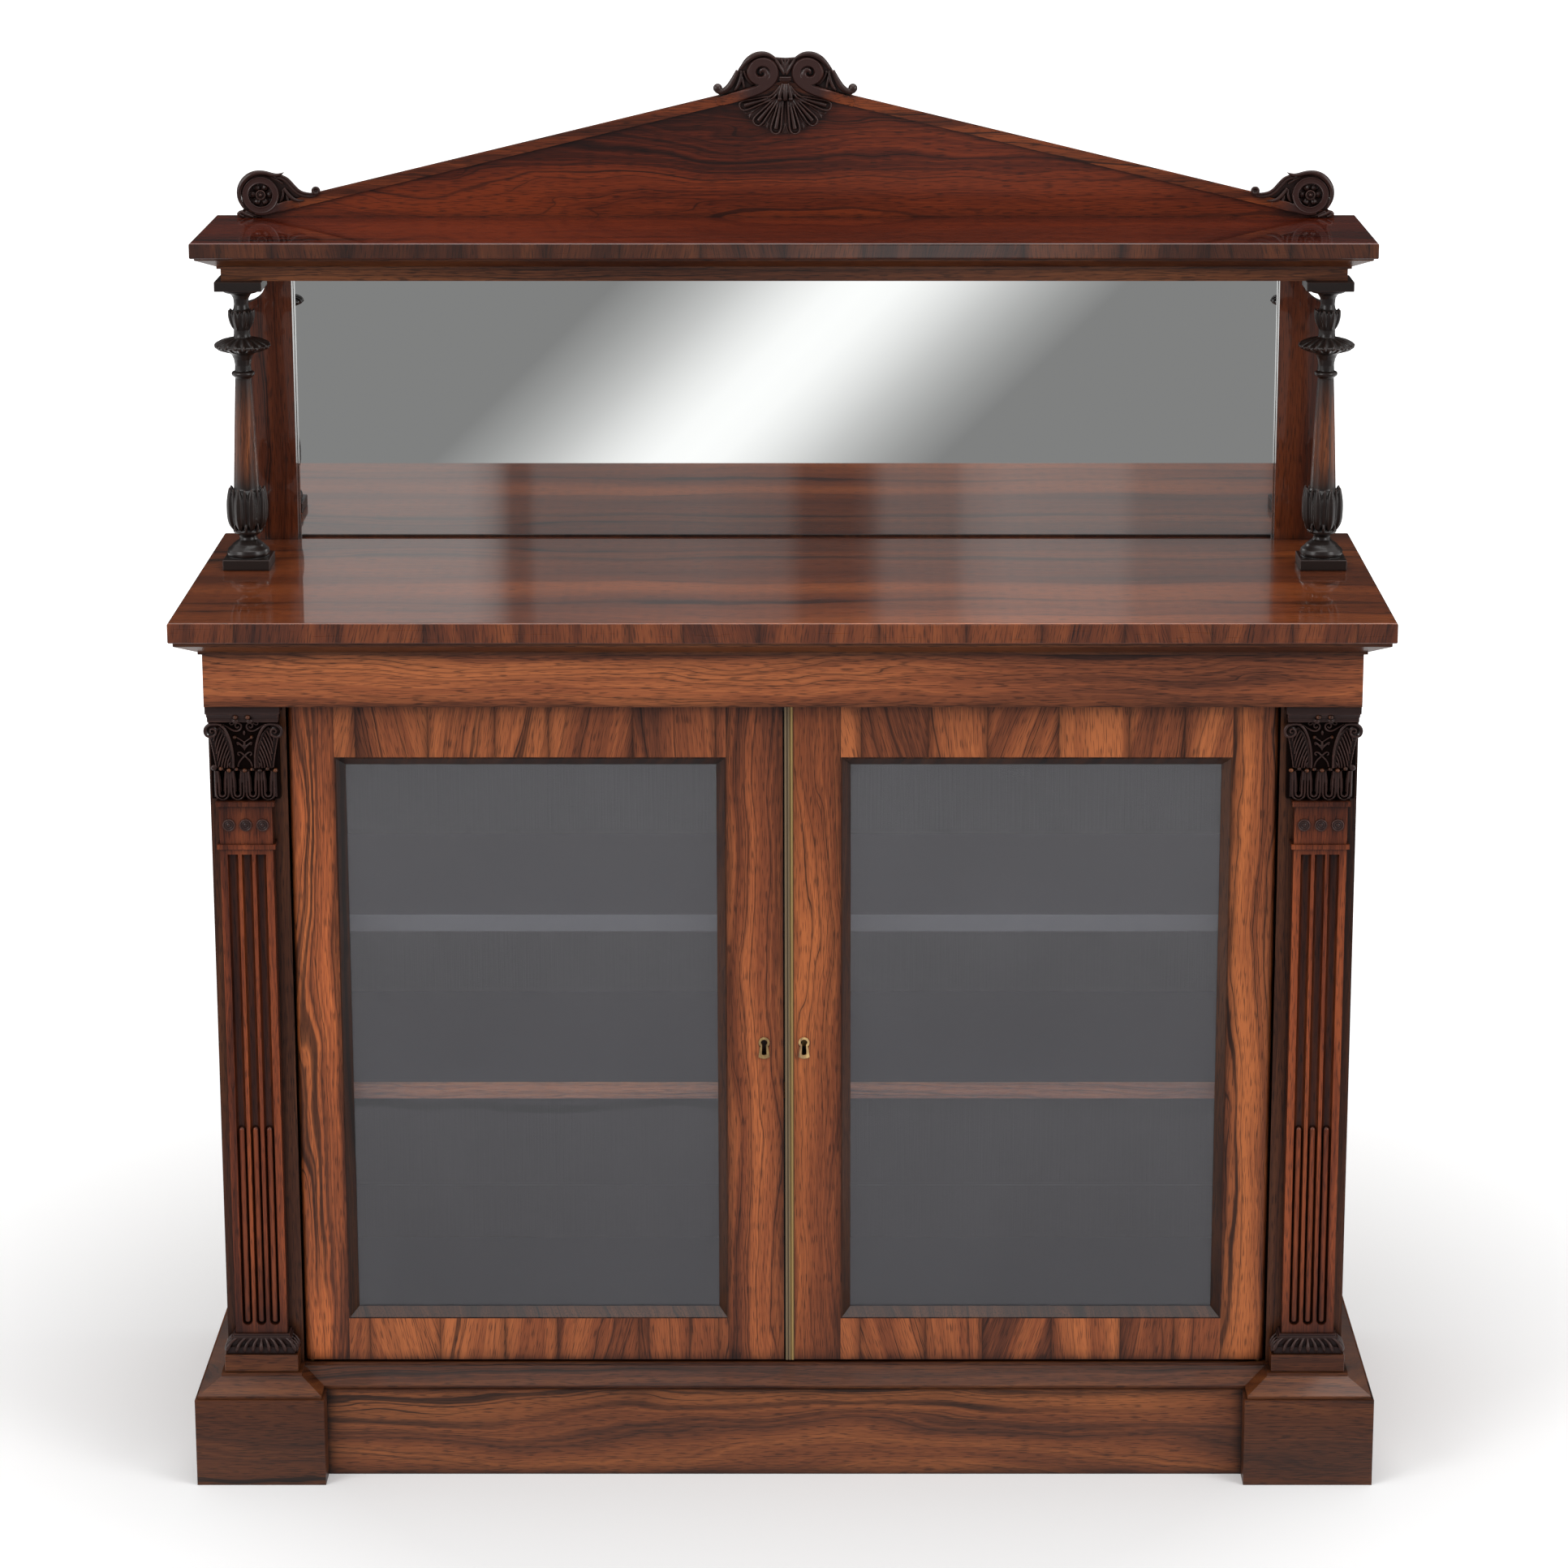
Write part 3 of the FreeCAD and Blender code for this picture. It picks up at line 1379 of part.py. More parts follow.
def make_columns():
    """Turned columns with square ends; heights run up from the table top."""
    low_block = block(
        "column_foot", ("column_x - column_foot_side / 2", "column_x + column_foot_side / 2"),
        ("column_y - column_foot_side / 2", "column_y + column_foot_side / 2"),
        ("table_height", "column_foot_top"),
    )
    high_block = block(
        "column_abacus", ("column_x - column_abacus_side / 2", "column_x + column_abacus_side / 2"),
        ("column_y - column_abacus_side / 2", "column_y + column_abacus_side / 2"),
        ("column_abacus_low", "gallery_frieze_low"),
    )
    at = ("column_x", "column_y")
    foot = turned("column_base", climb("column_foot_top", [
        ("torus_radius - torus_tall / 3", "torus_tall", 0.4),
        ("torus_radius - torus_tall / 3", "0"),
        ("torus_ledge_radius", "waist_tall", -0.2),
        ("waist_radius", "0"),
        ("bulb_ring_radius - bulb_ring_tall / 4", "bulb_ring_tall", 0.3),
        ("bulb_ring_radius - bulb_ring_tall / 4", "0"),
    ]), at)
    bulb = turned("column_bulb", climb("bulb_floor", [
        ("bulb_low_radius", "bulb_swell_tall", 0.12),
        ("bulb_radius", "bulb_tall - bulb_swell_tall"),
        ("bulb_top_radius", "0"),
    ]), at)
    shaft = doc.addObject("Part::Cone", unused_name("column_shaft"))
    bind(shaft, "Radius1", "shaft_low_radius")
    bind(shaft, "Radius2", "shaft_high_radius")
    bind(shaft, "Height", "collar_floor - bulb_top")
    for word, formula in zip("xyz", at + ("bulb_top",)):
        bind(shaft, f"Placement.Base.{word}", formula)
    collar = turned("column_collar", climb("collar_floor", [
        ("collar_ring_radius - collar_ring_tall / 4", "collar_ring_tall", 0.3),
        ("collar_ring_radius - collar_ring_tall / 4", "0"),
        ("flare_low_radius", "flare_tall", -0.08),
        ("flare_high_radius", "disc_tall / 2", 0.16),
        ("disc_radius", "disc_tall / 2", 0.22),
        ("flare_high_radius", "0"),
    ]), at)
    cup = turned("column_cup", climb("cup_floor - neck_rise * column_stretch", [
        ("neck_radius", "neck_rise"),
        ("neck_radius", "0"),
        ("cup_low_radius", "cup_tall"),
        ("cup_high_radius", "0"),
        ("upper_neck_low_radius", "upper_neck_tall", -0.1),
        ("upper_neck_high_radius", "0"),
        ("upper_neck_high_radius + ovolo_tall / 2", "ovolo_tall", 0.2),
        ("ovolo_radius", "0"),
    ]), at)
    whole = [low_block, foot, bulb, shaft, collar, cup, high_block]
    keep_pair(fused("gallery_column_whole", whole), "gallery_column")


# ---------------------------------------------------------------- pediment

def make_pediment():
    apex = "gallery_height + pediment_apex"
    lean = "(pediment_apex - pediment_end_tall) / upright_outer"
    drop = "rake_thickness * sqrt(1 + pow((pediment_apex - pediment_end_tall) / upright_outer; 2))"
    foot_x = f"upright_outer - (({drop}) - pediment_end_tall) / ({lean})"
    outline = [
        (f"-({foot_x})", "gallery_height"),
        (foot_x, "gallery_height"),
        ("0", f"{apex} - {drop}"),
    ]
    board = padded("pediment_board", "XZ_Plane", outline, "pediment_front", "pediment_back")
    keep(board, "pediment_board")
    band = [
        (foot_x, "gallery_height"),
        ("upright_outer", "gallery_height"),
        ("upright_outer", "gallery_height + pediment_end_tall"),
        ("0", apex),
        ("0", f"{apex} - {drop}"),
    ]
    right_band = padded("rake_band", "XZ_Plane", band, "rake_front", "pediment_back")
    left_band = mirrored("rake_band_left", right_band)
    keep(group("rake_bands", [right_band, left_band]), "rake_bands")
    seats = [board, right_band, left_band]
    make_crest(seats)
    make_scroll_ends(seats)


def flat_outline(x, z, front):
    """A point on a carving's face."""
    return vec(x, front, z)


def volute(side, x, z, radius, width, front, depth):
    """A flat band of half circles that winds up and inwards from its lowest point."""
    fall = (width + size("volute_seam")) / 2
    outer = []
    inner = []
    start = -radius
    for number in range(int(size("volute_half_turns"))):
        reach = radius - fall * number
        way = 1 if number % 2 == 0 else -1
        centre = z + start + way * reach
        for edge, distance in ((outer, reach), (inner, reach - width)):
            spots = [
                flat_outline(x, centre - way * distance, front),
                flat_outline(x - side * way * distance, centre, front),
                flat_outline(x, centre + way * distance, front),
            ]
            edge.append(Part.Arc(*spots).toShape())
        start += 2 * way * reach
    tip = Part.makeLine(outer[-1].lastVertex().Point, inner[-1].lastVertex().Point)
    root = Part.makeLine(inner[0].firstVertex().Point, outer[0].firstVertex().Point)
    rim = Part.Wire(outer + [tip] + inner[::-1] + [root])
    return Part.Face(rim).extrude(vec(0, depth, 0))


def ring_sector(x, z, inner, outer, start_angle, end_angle, front, depth):
    """Part of a flat ring, between two angles in degrees."""
    arcs = []
    for radius in (inner, outer):
        spots = []
        for angle in (start_angle, (start_angle + end_angle) / 2, end_angle):
            turn = math.radians(angle)
            spots.append(flat_outline(x + radius * math.cos(turn), z + radius * math.sin(turn), front))
        arcs.append(spots)
    edges = [
        Part.Arc(*arcs[0]).toShape(),
        Part.makeLine(arcs[0][2], arcs[1][2]),
        Part.Arc(*arcs[1][::-1]).toShape(),
        Part.makeLine(arcs[1][0], arcs[0][0]),
    ]
    return Part.Face(Part.Wire(edges)).extrude(vec(0, depth, 0))


def side_angles(side, start_angle, end_angle):
    """Angles given for the right-hand side, turned over for the left."""
    if side > 0:
        return start_angle, end_angle
    return 180 - end_angle, 180 - start_angle


def upright_disc(x, z, radius, front, depth):
    return Part.makeCylinder(radius, depth, flat_outline(x, z, front), vec(0, 1, 0))


def lobe(x, z, angle, start, stop, radius, front, depth):
    """A round-ended bar that widens from one radius out to another."""
    way = vec(math.cos(angle), 0, math.sin(angle))
    first = flat_outline(x, z, front) + way * start
    last = flat_outline(x, z, front) + way * stop
    across = vec(-way.z, 0, way.x) * radius
    narrow = across * 0.4
    rim = Part.makePolygon([first + narrow, last + across, last - across, first - narrow, first + narrow])
    bar = Part.Face(rim).extrude(vec(0, depth, 0))
    return bar.fuse(Part.makeCylinder(radius, depth, last, vec(0, 1, 0)))


def curved_bar(start, end, bulge, start_width, end_width, front, depth):
    """A tapered bar along an arc between two (x, z) points; bulge is a share of its chord."""
    first = flat_outline(*start, front)
    last = flat_outline(*end, front)
    chord = last - first
    normal = vec(-chord.z, 0, chord.x)
    middle = (first + last) * 0.5 + normal * bulge
    normal.normalize()
    widths = (start_width / 2, (start_width + end_width) / 4, end_width / 2)
    upper = [spot + normal * width for spot, width in zip((first, middle, last), widths)]
    lower = [spot - normal * width for spot, width in zip((first, middle, last), widths)]
    edges = [
        Part.Arc(*upper).toShape(),
        Part.makeLine(upper[2], lower[2]),
        Part.Arc(*lower[::-1]).toShape(),
        Part.makeLine(lower[0], upper[0]),
    ]
    return Part.Face(Part.Wire(edges)).extrude(vec(0, depth, 0))


def flat_web(corners, front, depth):
    """A web between carved members, from its (x, z) corners."""
    spots = [flat_outline(x, z, front) for x, z in corners]
    return Part.Face(Part.makePolygon(spots + spots[:1])).extrude(vec(0, depth, 0))


def carved(label, solids, seats):
    """One carving of overlapping solids, trimmed to the pieces it seats on."""
    carving = doc.addObject("Part::Feature", unused_name(label + "_carving"))
    carving.Shape = solids[0].multiFuse(solids[1:]).removeSplitter()
    for number, seat in enumerate(seats):
        carving = cut(f"{label}_seated_{number}", carving, [seat])
    keep(carving, label)


def make_crest(seats):
    """Two volutes over a shell, tied by a stem, with a leaf on each side."""
    front = size("rake_front") - size("crest_proud")
    depth = size("pediment_back") - size("crest_back_inset") - front
    base = size("gallery_height")
    volute_z = base + size("crest_volute_rise")
    radius = size("crest_volute_radius")
    spread = size("crest_volute_spread")
    band = size("crest_band_width")
    step = size("crest_relief")
    ball = size("crest_ball_radius")
    body_front = front + 2 * step
    body_depth = depth - 2 * step
    stem_top = volute_z + radius - step
    solids = [flat_web([
        (-spread - band, volute_z - radius + band),
        (-spread, volute_z - radius + step),
        (spread, volute_z - radius + step),
        (spread + band, volute_z - radius + band),
        (spread / 2, volute_z),
        (spread / 2, stem_top),
        (-spread / 2, stem_top),
        (-spread / 2, volute_z),
    ], body_front, body_depth)]
    stem = size("stem_width") / 2
    solids.append(flat_web([
        (-stem / 2, volute_z - radius), (stem / 2, volute_z - radius), (stem, stem_top), (-stem, stem_top),
    ], front + step, depth - step))
    for side in (-1, 1):
        x = side * spread
        leaf_root = (side * (spread + radius), volute_z)
        leaf_tip = (side * size("crest_leaf_reach"), base + size("crest_leaf_rise"))
        solids.append(upright_disc(x, volute_z, radius - step, body_front, body_depth))
        solids.append(volute(side, x, volute_z, radius, band, front, depth))
        start_angle, end_angle = side_angles(side, -5, 125)
        solids.append(ring_sector(x, volute_z, radius - 2 * step, radius + size("crest_arch_thickness"),
                                  start_angle, end_angle, front + step, depth - step))
        solids.append(curved_bar(leaf_root, leaf_tip, side * 0.14, band * 1.7, ball, front + step,
                                 depth - step))
        solids.append(upright_disc(*leaf_tip, ball, front + step / 2, depth - step / 2))
        solids.append(flat_web([
            (x - side * band, volute_z - radius + band), (x, volute_z - radius + step),
            (leaf_tip[0], leaf_tip[1] - ball / 2), leaf_root,
        ], body_front, body_depth))
    solids += shell_lobes(front, step, base + size("shell_rise"))
    carved("pediment_crest", solids, seats)


def shell_lobes(front, step, z):
    """A fan of lobes that hangs below the stem, with darts between them."""
    radius = size("shell_lobe_radius")
    reach = size("shell_radius") - radius
    depth = size("pediment_front") - front
    root = size("shell_root_radius")
    pitch = math.radians(size("shell_lobe_pitch"))
    count = int(size("shell_lobe_count"))
    solids = [upright_disc(0, z, root, front, depth)]
    half_fan = pitch * count / 2
    rim = [(0, z)]
    for number in range(count + 1):
        angle = -math.pi / 2 - half_fan + pitch * number
        rim.append(((reach - step) * math.cos(angle), z + (reach - step) * math.sin(angle)))
    solids.append(flat_web(rim, front + 2 * step, depth - 2 * step))
    for number in range(count):
        angle = -math.pi / 2 - half_fan + pitch * (number + 0.5)
        solids.append(lobe(0, z, angle, root, reach, radius, front, depth))
    for number in range(count - 1):
        angle = -math.pi / 2 - half_fan + pitch * (number + 1)
        solids.append(lobe(0, z, angle, root, reach, radius / 2, front + step, depth - step))
    return solids


def make_scroll_ends(seats):
    """A rolled scroll with a rosette, under a leaf whose tail lies along the rake."""
    front = size("rake_front") - size("scroll_proud")
    depth = size("pediment_back") - front
    base = size("gallery_height")
    radius = size("scroll_radius")
    z = base + size("scroll_rise")
    step = size("crest_relief")
    leaf = radius + size("scroll_leaf_thickness")
    ball = size("scroll_ball_radius")
    for side, hand in ((-1, "left"), (1, "right")):
        x = side * (size("upright_outer") - size("scroll_inset"))
        tip = (x - side * size("scroll_tail_length"), base + size("scroll_tail_rise"))
        start_angle, end_angle = side_angles(side, -20, 110)
        ring = upright_disc(x, z, radius, front, depth)
        groove = upright_disc(x, z, radius - size("scroll_band_width"), front, step)
        solids = [
            ring.cut(groove),
            upright_disc(x, z, size("rosette_radius"), front + step / 2, depth - step / 2),
            upright_disc(x, z, size("rosette_boss_radius"), front - step / 2, depth),
            ring_sector(x, z, radius - step, leaf, start_angle, end_angle, front + step, depth - step),
            curved_bar((x - side * radius * 0.35, z + radius * 0.95), tip, side * 0.12, leaf - radius,
                       ball * 1.4, front + step, depth - step),
            upright_disc(*tip, ball, front + step / 2, depth - step / 2),
            flat_web([(x, z), (x, base), (tip[0], tip[1] - ball / 2), (x - side * leaf, z)],
                     front + 2 * step, depth - 2 * step),
            flat_web([
                (x, base), (side * size("upright_outer"), base),
                (side * size("upright_outer"), base + ball), (x + side * radius / 2, z),
            ], front + step, depth - step),
        ]
        carved(f"{hand}_scroll_end", solids, seats)


def build():
    make_plinth()
    make_carcass()
    make_fixed_pivots()
    make_table_top()
    make_shelves()
    for side in (-1, 1):
        make_door(side)
    make_meeting_strip()
    make_lock()
    make_door_bolts()
    make_pilasters()
    make_gallery()
    make_pediment()


build()
doc.recompute()

failed = [thing.Name for thing in doc.Objects if {"Invalid", "Error"} & set(thing.State)]
for thing in sub_parts:
    if thing.Shape.isNull() or not thing.Shape.isValid():
        failed.append(thing.Label)
if failed:
    raise SystemExit("not built: " + ", ".join(failed))

os.makedirs("parts", exist_ok=True)
for thing in sub_parts:
    thing.Shape.exportStep(f"parts/{thing.Label}.step")
print(len(sub_parts), "sub-parts")
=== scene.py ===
import bpy
import math
from mathutils import Matrix, Vector


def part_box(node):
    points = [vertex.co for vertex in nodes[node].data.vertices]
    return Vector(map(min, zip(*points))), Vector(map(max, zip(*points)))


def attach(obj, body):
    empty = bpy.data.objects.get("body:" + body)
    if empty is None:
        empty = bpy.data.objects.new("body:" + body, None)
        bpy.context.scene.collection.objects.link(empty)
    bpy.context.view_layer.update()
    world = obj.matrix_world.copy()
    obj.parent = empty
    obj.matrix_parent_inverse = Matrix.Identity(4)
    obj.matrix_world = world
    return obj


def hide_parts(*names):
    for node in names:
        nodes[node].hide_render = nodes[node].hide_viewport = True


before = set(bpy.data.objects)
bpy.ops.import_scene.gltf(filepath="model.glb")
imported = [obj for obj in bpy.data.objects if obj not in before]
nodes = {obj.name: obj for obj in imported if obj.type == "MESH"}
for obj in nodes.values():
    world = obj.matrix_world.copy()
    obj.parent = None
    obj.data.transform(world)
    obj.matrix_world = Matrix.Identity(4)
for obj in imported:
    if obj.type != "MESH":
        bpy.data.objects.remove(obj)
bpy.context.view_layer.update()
hands = {"left": 1, "right": -1}     # the right-hand pieces are mirrored
print("frame loaded:", len(nodes), "nodes")


# finishes

def startFinish(name):
    material = bpy.data.materials.new(name)
    material.use_nodes = True
    material.node_tree.nodes.clear()
    return material, material.node_tree


def addNode(tree, kind, inputs=None, **settings):
    node = tree.nodes.new(kind)
    for key, value in settings.items():
        setattr(node, key, value)
    for key, value in (inputs or {}).items():
        socket = node.inputs[key]
        if isinstance(value, bpy.types.NodeSocket):
            tree.links.new(value, socket)
        else:
            socket.default_value = value
    return node


def sums(tree, how, first, second=0.0, third=0.0):
    return addNode(tree, "ShaderNodeMath", {0: first, 1: second, 2: third}, operation=how).outputs[0]


def between(tree, value, low, high, start=0.0, end=1.0):
    return addNode(tree, "ShaderNodeMapRange", {
        "Value": value, "From Min": low, "From Max": high, "To Min": start, "To Max": end,
    }).outputs[0]


def grey(level):
    return (level, level, level)


def ramp(tree, value, stops):
    # each stop is a place and a colour, or a place and a level of grey
    node = addNode(tree, "ShaderNodeValToRGB", {"Fac": value})
    band = node.color_ramp
    while len(band.elements) < len(stops):
        band.elements.new(0.5)
    for element, (place, colour) in zip(band.elements, stops):
        element.position = place
        element.color = (*(colour if isinstance(colour, tuple) else grey(colour)), 1)
    return node.outputs["Color"]


def blendColours(tree, share, first, second, how="MIX"):
    node = addNode(tree, "ShaderNodeMix", data_type="RGBA", blend_type=how, clamp_factor=True)
    for socket, value in ((node.inputs[0], share), (node.inputs[6], first), (node.inputs[7], second)):
        if isinstance(value, bpy.types.NodeSocket):
            tree.links.new(value, socket)
        else:
            socket.default_value = value if isinstance(value, float) else (*value, 1)
    return node.outputs[2]


def darken(tree, colour, shade):
    return blendColours(tree, 1.0, colour, shade, "MULTIPLY")


def stretched(tree, place, scale, detail=2.0, rough=0.5, seed=(0, 0, 0)):
    moved = addNode(tree, "ShaderNodeMapping", {"Vector": place, "Location": seed, "Scale": scale})
    noise = {"Vector": moved.outputs[0], "Scale": 1.0, "Detail": detail, "Roughness": rough}
    return addNode(tree, "ShaderNodeTexNoise", noise).outputs[0]


def lineNoise(tree, along, scale, detail=2.0, rough=0.5, seed=0.0):
    spot = sums(tree, "MULTIPLY_ADD", along, scale, seed)
    noise = {"W": spot, "Scale": 1.0, "Detail": detail, "Roughness": rough}
    return addNode(tree, "ShaderNodeTexNoise", noise, noise_dimensions="1D").outputs[0]


def objectPlace(tree):
    return addNode(tree, "ShaderNodeTexCoord").outputs["Object"]


def axes(tree, vector):
    return addNode(tree, "ShaderNodeSeparateXYZ", {0: vector}).outputs


def facing(tree):
    return axes(tree, addNode(tree, "ShaderNodeNewGeometry").outputs["True Normal"])


def show(tree, shader, kind="Material"):
    addNode(tree, "ShaderNodeOutput" + kind, {"Surface": shader.outputs[0]})
    return shader


def showPrincipled(tree, inputs):
    return show(tree, addNode(tree, "ShaderNodeBsdfPrincipled", inputs))


def cornerShade(tree, reach=0.009, depth=0.25):
    # painted shade: ambient occlusion darkens the inner corners
    opening = addNode(tree, "ShaderNodeAmbientOcclusion", {"Distance": reach}, samples=4).outputs["AO"]
    return ramp(tree, opening, [(0.30, depth), (0.88, 1)])


grainOrders = {"X": (0, 2, 1), "Y": (1, 2, 0), "Z": (2, 0, 1)}   # along, across and into the grain

rosewoodLook = {
    "dark": (0.010, 0.0045, 0.003),
    "deep": (0.066, 0.020, 0.009),
    "middle": (0.235, 0.064, 0.019),
    "light": (0.450, 0.138, 0.038),
    "pores": 0.55,
    "spread": 1.35,        # contrast of the figure
    "swirl": 0.050,        # how far the figure wanders, in metres
    "figure": 26.0,        # bands per metre of the broad figure
    "veins": 5.0,          # dark lines in each band
    "veinWidth": 0.035,
    "shown": 0.12,         # how much of a vein stays where it fades
    "leaf": 0.0,           # width of a cross-banded leaf, in metres
    "leafTone": 0.26,
    "edges": (),           # (axis, low, high, reach) of a painted shade along the edges
    "hollows": (),         # (axis, place, reach) beyond which it is dark, a painted shade
    "seed": 0.0,
    "level": 1.0,
    "tint": (1.0, 1.0, 1.0),
}


def layLeaves(tree, look, along, across):
    # each leaf has its own tone, slant and stretch of grain
    number = sums(tree, "MULTIPLY_ADD", across, 1 / look["leaf"], look["seed"])
    place = {"W": number, "Scale": 1.0, "Randomness": 0.85}
    cells = [addNode(tree, "ShaderNodeTexVoronoi", place, voronoi_dimensions="1D", feature=feature)
             for feature in ("F1", "DISTANCE_TO_EDGE")]
    tone, turn, shift = addNode(tree, "ShaderNodeSeparateColor", {0: cells[0].outputs["Color"]}).outputs
    slant = sums(tree, "MULTIPLY_ADD", turn, 0.7, -0.35)
    across = sums(tree, "MULTIPLY_ADD", along, slant, across)
    across = sums(tree, "MULTIPLY_ADD", shift, 0.9, across)
    along = sums(tree, "MULTIPLY_ADD", turn, 0.7, along)
    joint = ramp(tree, cells[1].outputs["Distance"], [(0.0, 0.30), (0.02, 0.62), (0.10, 1)])
    return along, across, tone, joint


def darkVeins(tree, look, ring, wood, colour):
    # thin dark lines along the contours of the figure
    contour = lineNoise(tree, ring, look["figure"] * 0.8, 3.0, 0.55, look["seed"] * 5.1 + 20)
    contour = sums(tree, "FRACT", sums(tree, "MULTIPLY", contour, look["veins"]))
    contour = sums(tree, "ABSOLUTE", sums(tree, "SUBTRACT", contour, 0.5))
    patch = stretched(tree, wood, (2.2, 14, 14), 2.0, 0.5, (3, look["seed"], 9))
    shown = ramp(tree, patch, [(0.40, look["shown"]), (0.60, 1)])
    line = ramp(tree, contour, [(0.0, 0.85), (look["veinWidth"] * 0.5, 0.7), (look["veinWidth"], 0)])
    shade = ramp(tree, contour, [(0.0, 0.34), (0.22, 0)])
    for depth in (shade, line):
        colour = blendColours(tree, sums(tree, "MULTIPLY", depth, shown), colour, look["dark"])
    return colour


def edgeAndHollowShade(tree, look, parts, ripple, colour):
    # painted shade towards the edges, where a piece meets its neighbours
    for axis, low, high, reach in look["edges"]:
        place = parts["XYZ".index(axis)]
        side = sums(tree, "MINIMUM", sums(tree, "SUBTRACT", place, low), sums(tree, "SUBTRACT", high, place))
        side = sums(tree, "MULTIPLY_ADD", ripple, 0.012, sums(tree, "SUBTRACT", side, 0.006))
        darkening = ramp(tree, sums(tree, "DIVIDE", side, reach), [(0.0, 0.36), (0.35, 0.70), (1.0, 1)])
        colour = darken(tree, colour, darkening)
    # painted shade in the hollows, beyond a depth
    for axis, start, reach in look["hollows"]:
        depth = sums(tree, "DIVIDE", sums(tree, "SUBTRACT", parts["XYZ".index(axis)], start), reach)
        colour = darken(tree, colour, ramp(tree, depth, [(0.0, 1), (1.0, 0.36)]))
    return colour


def rosewoodColour(tree, grain, **changes):
    look = {**rosewoodLook, **changes}
    parts = axes(tree, objectPlace(tree))
    along, across, inward = (parts[number] for number in grainOrders[grain])
    seed = look["seed"]
    if look["leaf"]:
        along, across, tone, joint = layLeaves(tree, look, along, across)
    wood = addNode(tree, "ShaderNodeCombineXYZ", {0: along, 1: across, 2: inward}).outputs[0]
    swirl = stretched(tree, wood, (2.4, 9, 9), 3.0, 0.5, (seed, 3 + seed, 0))
    ripple = stretched(tree, wood, (16, 70, 70), 2.0, 0.5, (seed, 1, 2))
    ring = sums(tree, "MULTIPLY_ADD", inward, 0.4, across)
    ring = sums(tree, "MULTIPLY_ADD", swirl, look["swirl"], ring)
    ring = sums(tree, "MULTIPLY_ADD", ripple, 0.004, ring)
    figure = lineNoise(tree, ring, look["figure"], 2.0, 0.55, seed * 3.7)
    streaks = lineNoise(tree, ring, look["figure"] * 9, 3.0, 0.6, seed * 1.3)
    cloud = stretched(tree, wood, (1.6, 8, 8), 2.0, 0.5, (seed * 2, 7, 1))
    fibre = stretched(tree, wood, (16, 700, 700), 2.0, 0.6)
    pore = stretched(tree, wood, (70, 1050, 1050), 0.0, 0.5)
    value = sums(tree, "MULTIPLY_ADD", figure, 0.75, -0.66)
    for part, weight in ((streaks, 0.34), (cloud, 0.95), (fibre, 0.28)):
        value = sums(tree, "MULTIPLY_ADD", part, weight, value)
    if look["leaf"]:
        value = sums(tree, "MULTIPLY_ADD", tone, look["leafTone"], value)
        value = sums(tree, "SUBTRACT", value, look["leafTone"] / 2)
    value = sums(tree, "MULTIPLY_ADD", value, look["spread"], 0.46 * (1 - look["spread"]))
    colour = ramp(tree, value, [(0.10, look["deep"]), (0.46, look["middle"]), (0.84, look["light"])])
    colour = darkVeins(tree, look, ring, wood, colour)
    colour = blendColours(tree, ramp(tree, pore, [(0.57, 0), (0.68, look["pores"])]), colour, look["dark"])
    if look["leaf"]:
        colour = darken(tree, colour, joint)
    # painted shade along the edges and in the hollows
    colour = edgeAndHollowShade(tree, look, parts, ripple, colour)
    colour = darken(tree, colour, [look["level"] * part for part in look["tint"]])
    # the wood colour is darkened by painted shade in its inner corners
    return darken(tree, colour, cornerShade(tree)), fibre


def woodSurface(tree, colour, fibre, polish):
    bump = {"Strength": polish["bump"], "Distance": 0.0004, "Height": fibre}
    height = addNode(tree, "ShaderNodeBump", bump)
    return showPrincipled(tree, {
        "Base Color": colour, "Roughness": sums(tree, "MULTIPLY_ADD", fibre, 0.14, polish["rough"] - 0.07),
        "Specular IOR Level": polish["shine"],
        "Coat Weight": polish["coat"],
        "Coat Roughness": polish["coatRough"],
        "Normal": height.outputs[0],
    })


satin = {"rough": 0.38, "shine": 0.30, "coat": 0.22, "coatRough": 0.14, "bump": 0.12}
frenchPolish = {"rough": 0.30, "shine": 0.30, "coat": 1.0, "coatRough": 0.03, "bump": 0.03}
oiled = {"rough": 0.42, "shine": 0.24, "coat": 0.22, "coatRough": 0.22, "bump": 0.15}
waxed = {"rough": 0.46, "shine": 0.30, "coat": 0.10, "coatRough": 0.25, "bump": 0.2}
bareWood = {"rough": 0.72, "shine": 0.3, "coat": 0.0, "coatRough": 0.3, "bump": 0.35}


def rosewood(name, grain, polish=satin, **changes):
    material, tree = startFinish(name)
    woodSurface(tree, *rosewoodColour(tree, grain, **changes), polish)
    return material


def sheetEdges(node, axisNames, reach=0.012):
    # where the painted shade lies on a piece, from its corners
    low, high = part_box(node)
    return [(axis, low["XYZ".index(axis)], high["XYZ".index(axis)], reach) for axis in axisNames]


edgeBanding = {"leaf": 0.085, "figure": 40.0, "tint": (1.0, 0.85, 0.8), "veins": 2.0, "leafTone": 0.14,
               "spread": 1.0}


def tableVeneer(name, seed, level, **changes):
    # long grain on the flat, cross-banded leaves round the edge
    material, tree = startFinish(name)
    flat, fibre = rosewoodColour(tree, "X", seed=seed, level=level, **changes)
    edge, edgeFibre = rosewoodColour(tree, "Z", seed=seed + 4, level=0.74 * level, **edgeBanding)
    isFlat = sums(tree, "GREATER_THAN", sums(tree, "ABSOLUTE", facing(tree)[2]), 0.6)
    woodSurface(tree, blendColours(tree, isFlat, edge, flat), fibre, frenchPolish)
    return material


# dark is the painted shade of the hollows; rubbed is partly wear, partly a painted highlight on the ridges
carvedLook = {
    "dark": (0.0048, 0.0025, 0.0021),
    "body": (0.0245, 0.0102, 0.0082),
    "rubbed": (0.086, 0.035, 0.026),
}


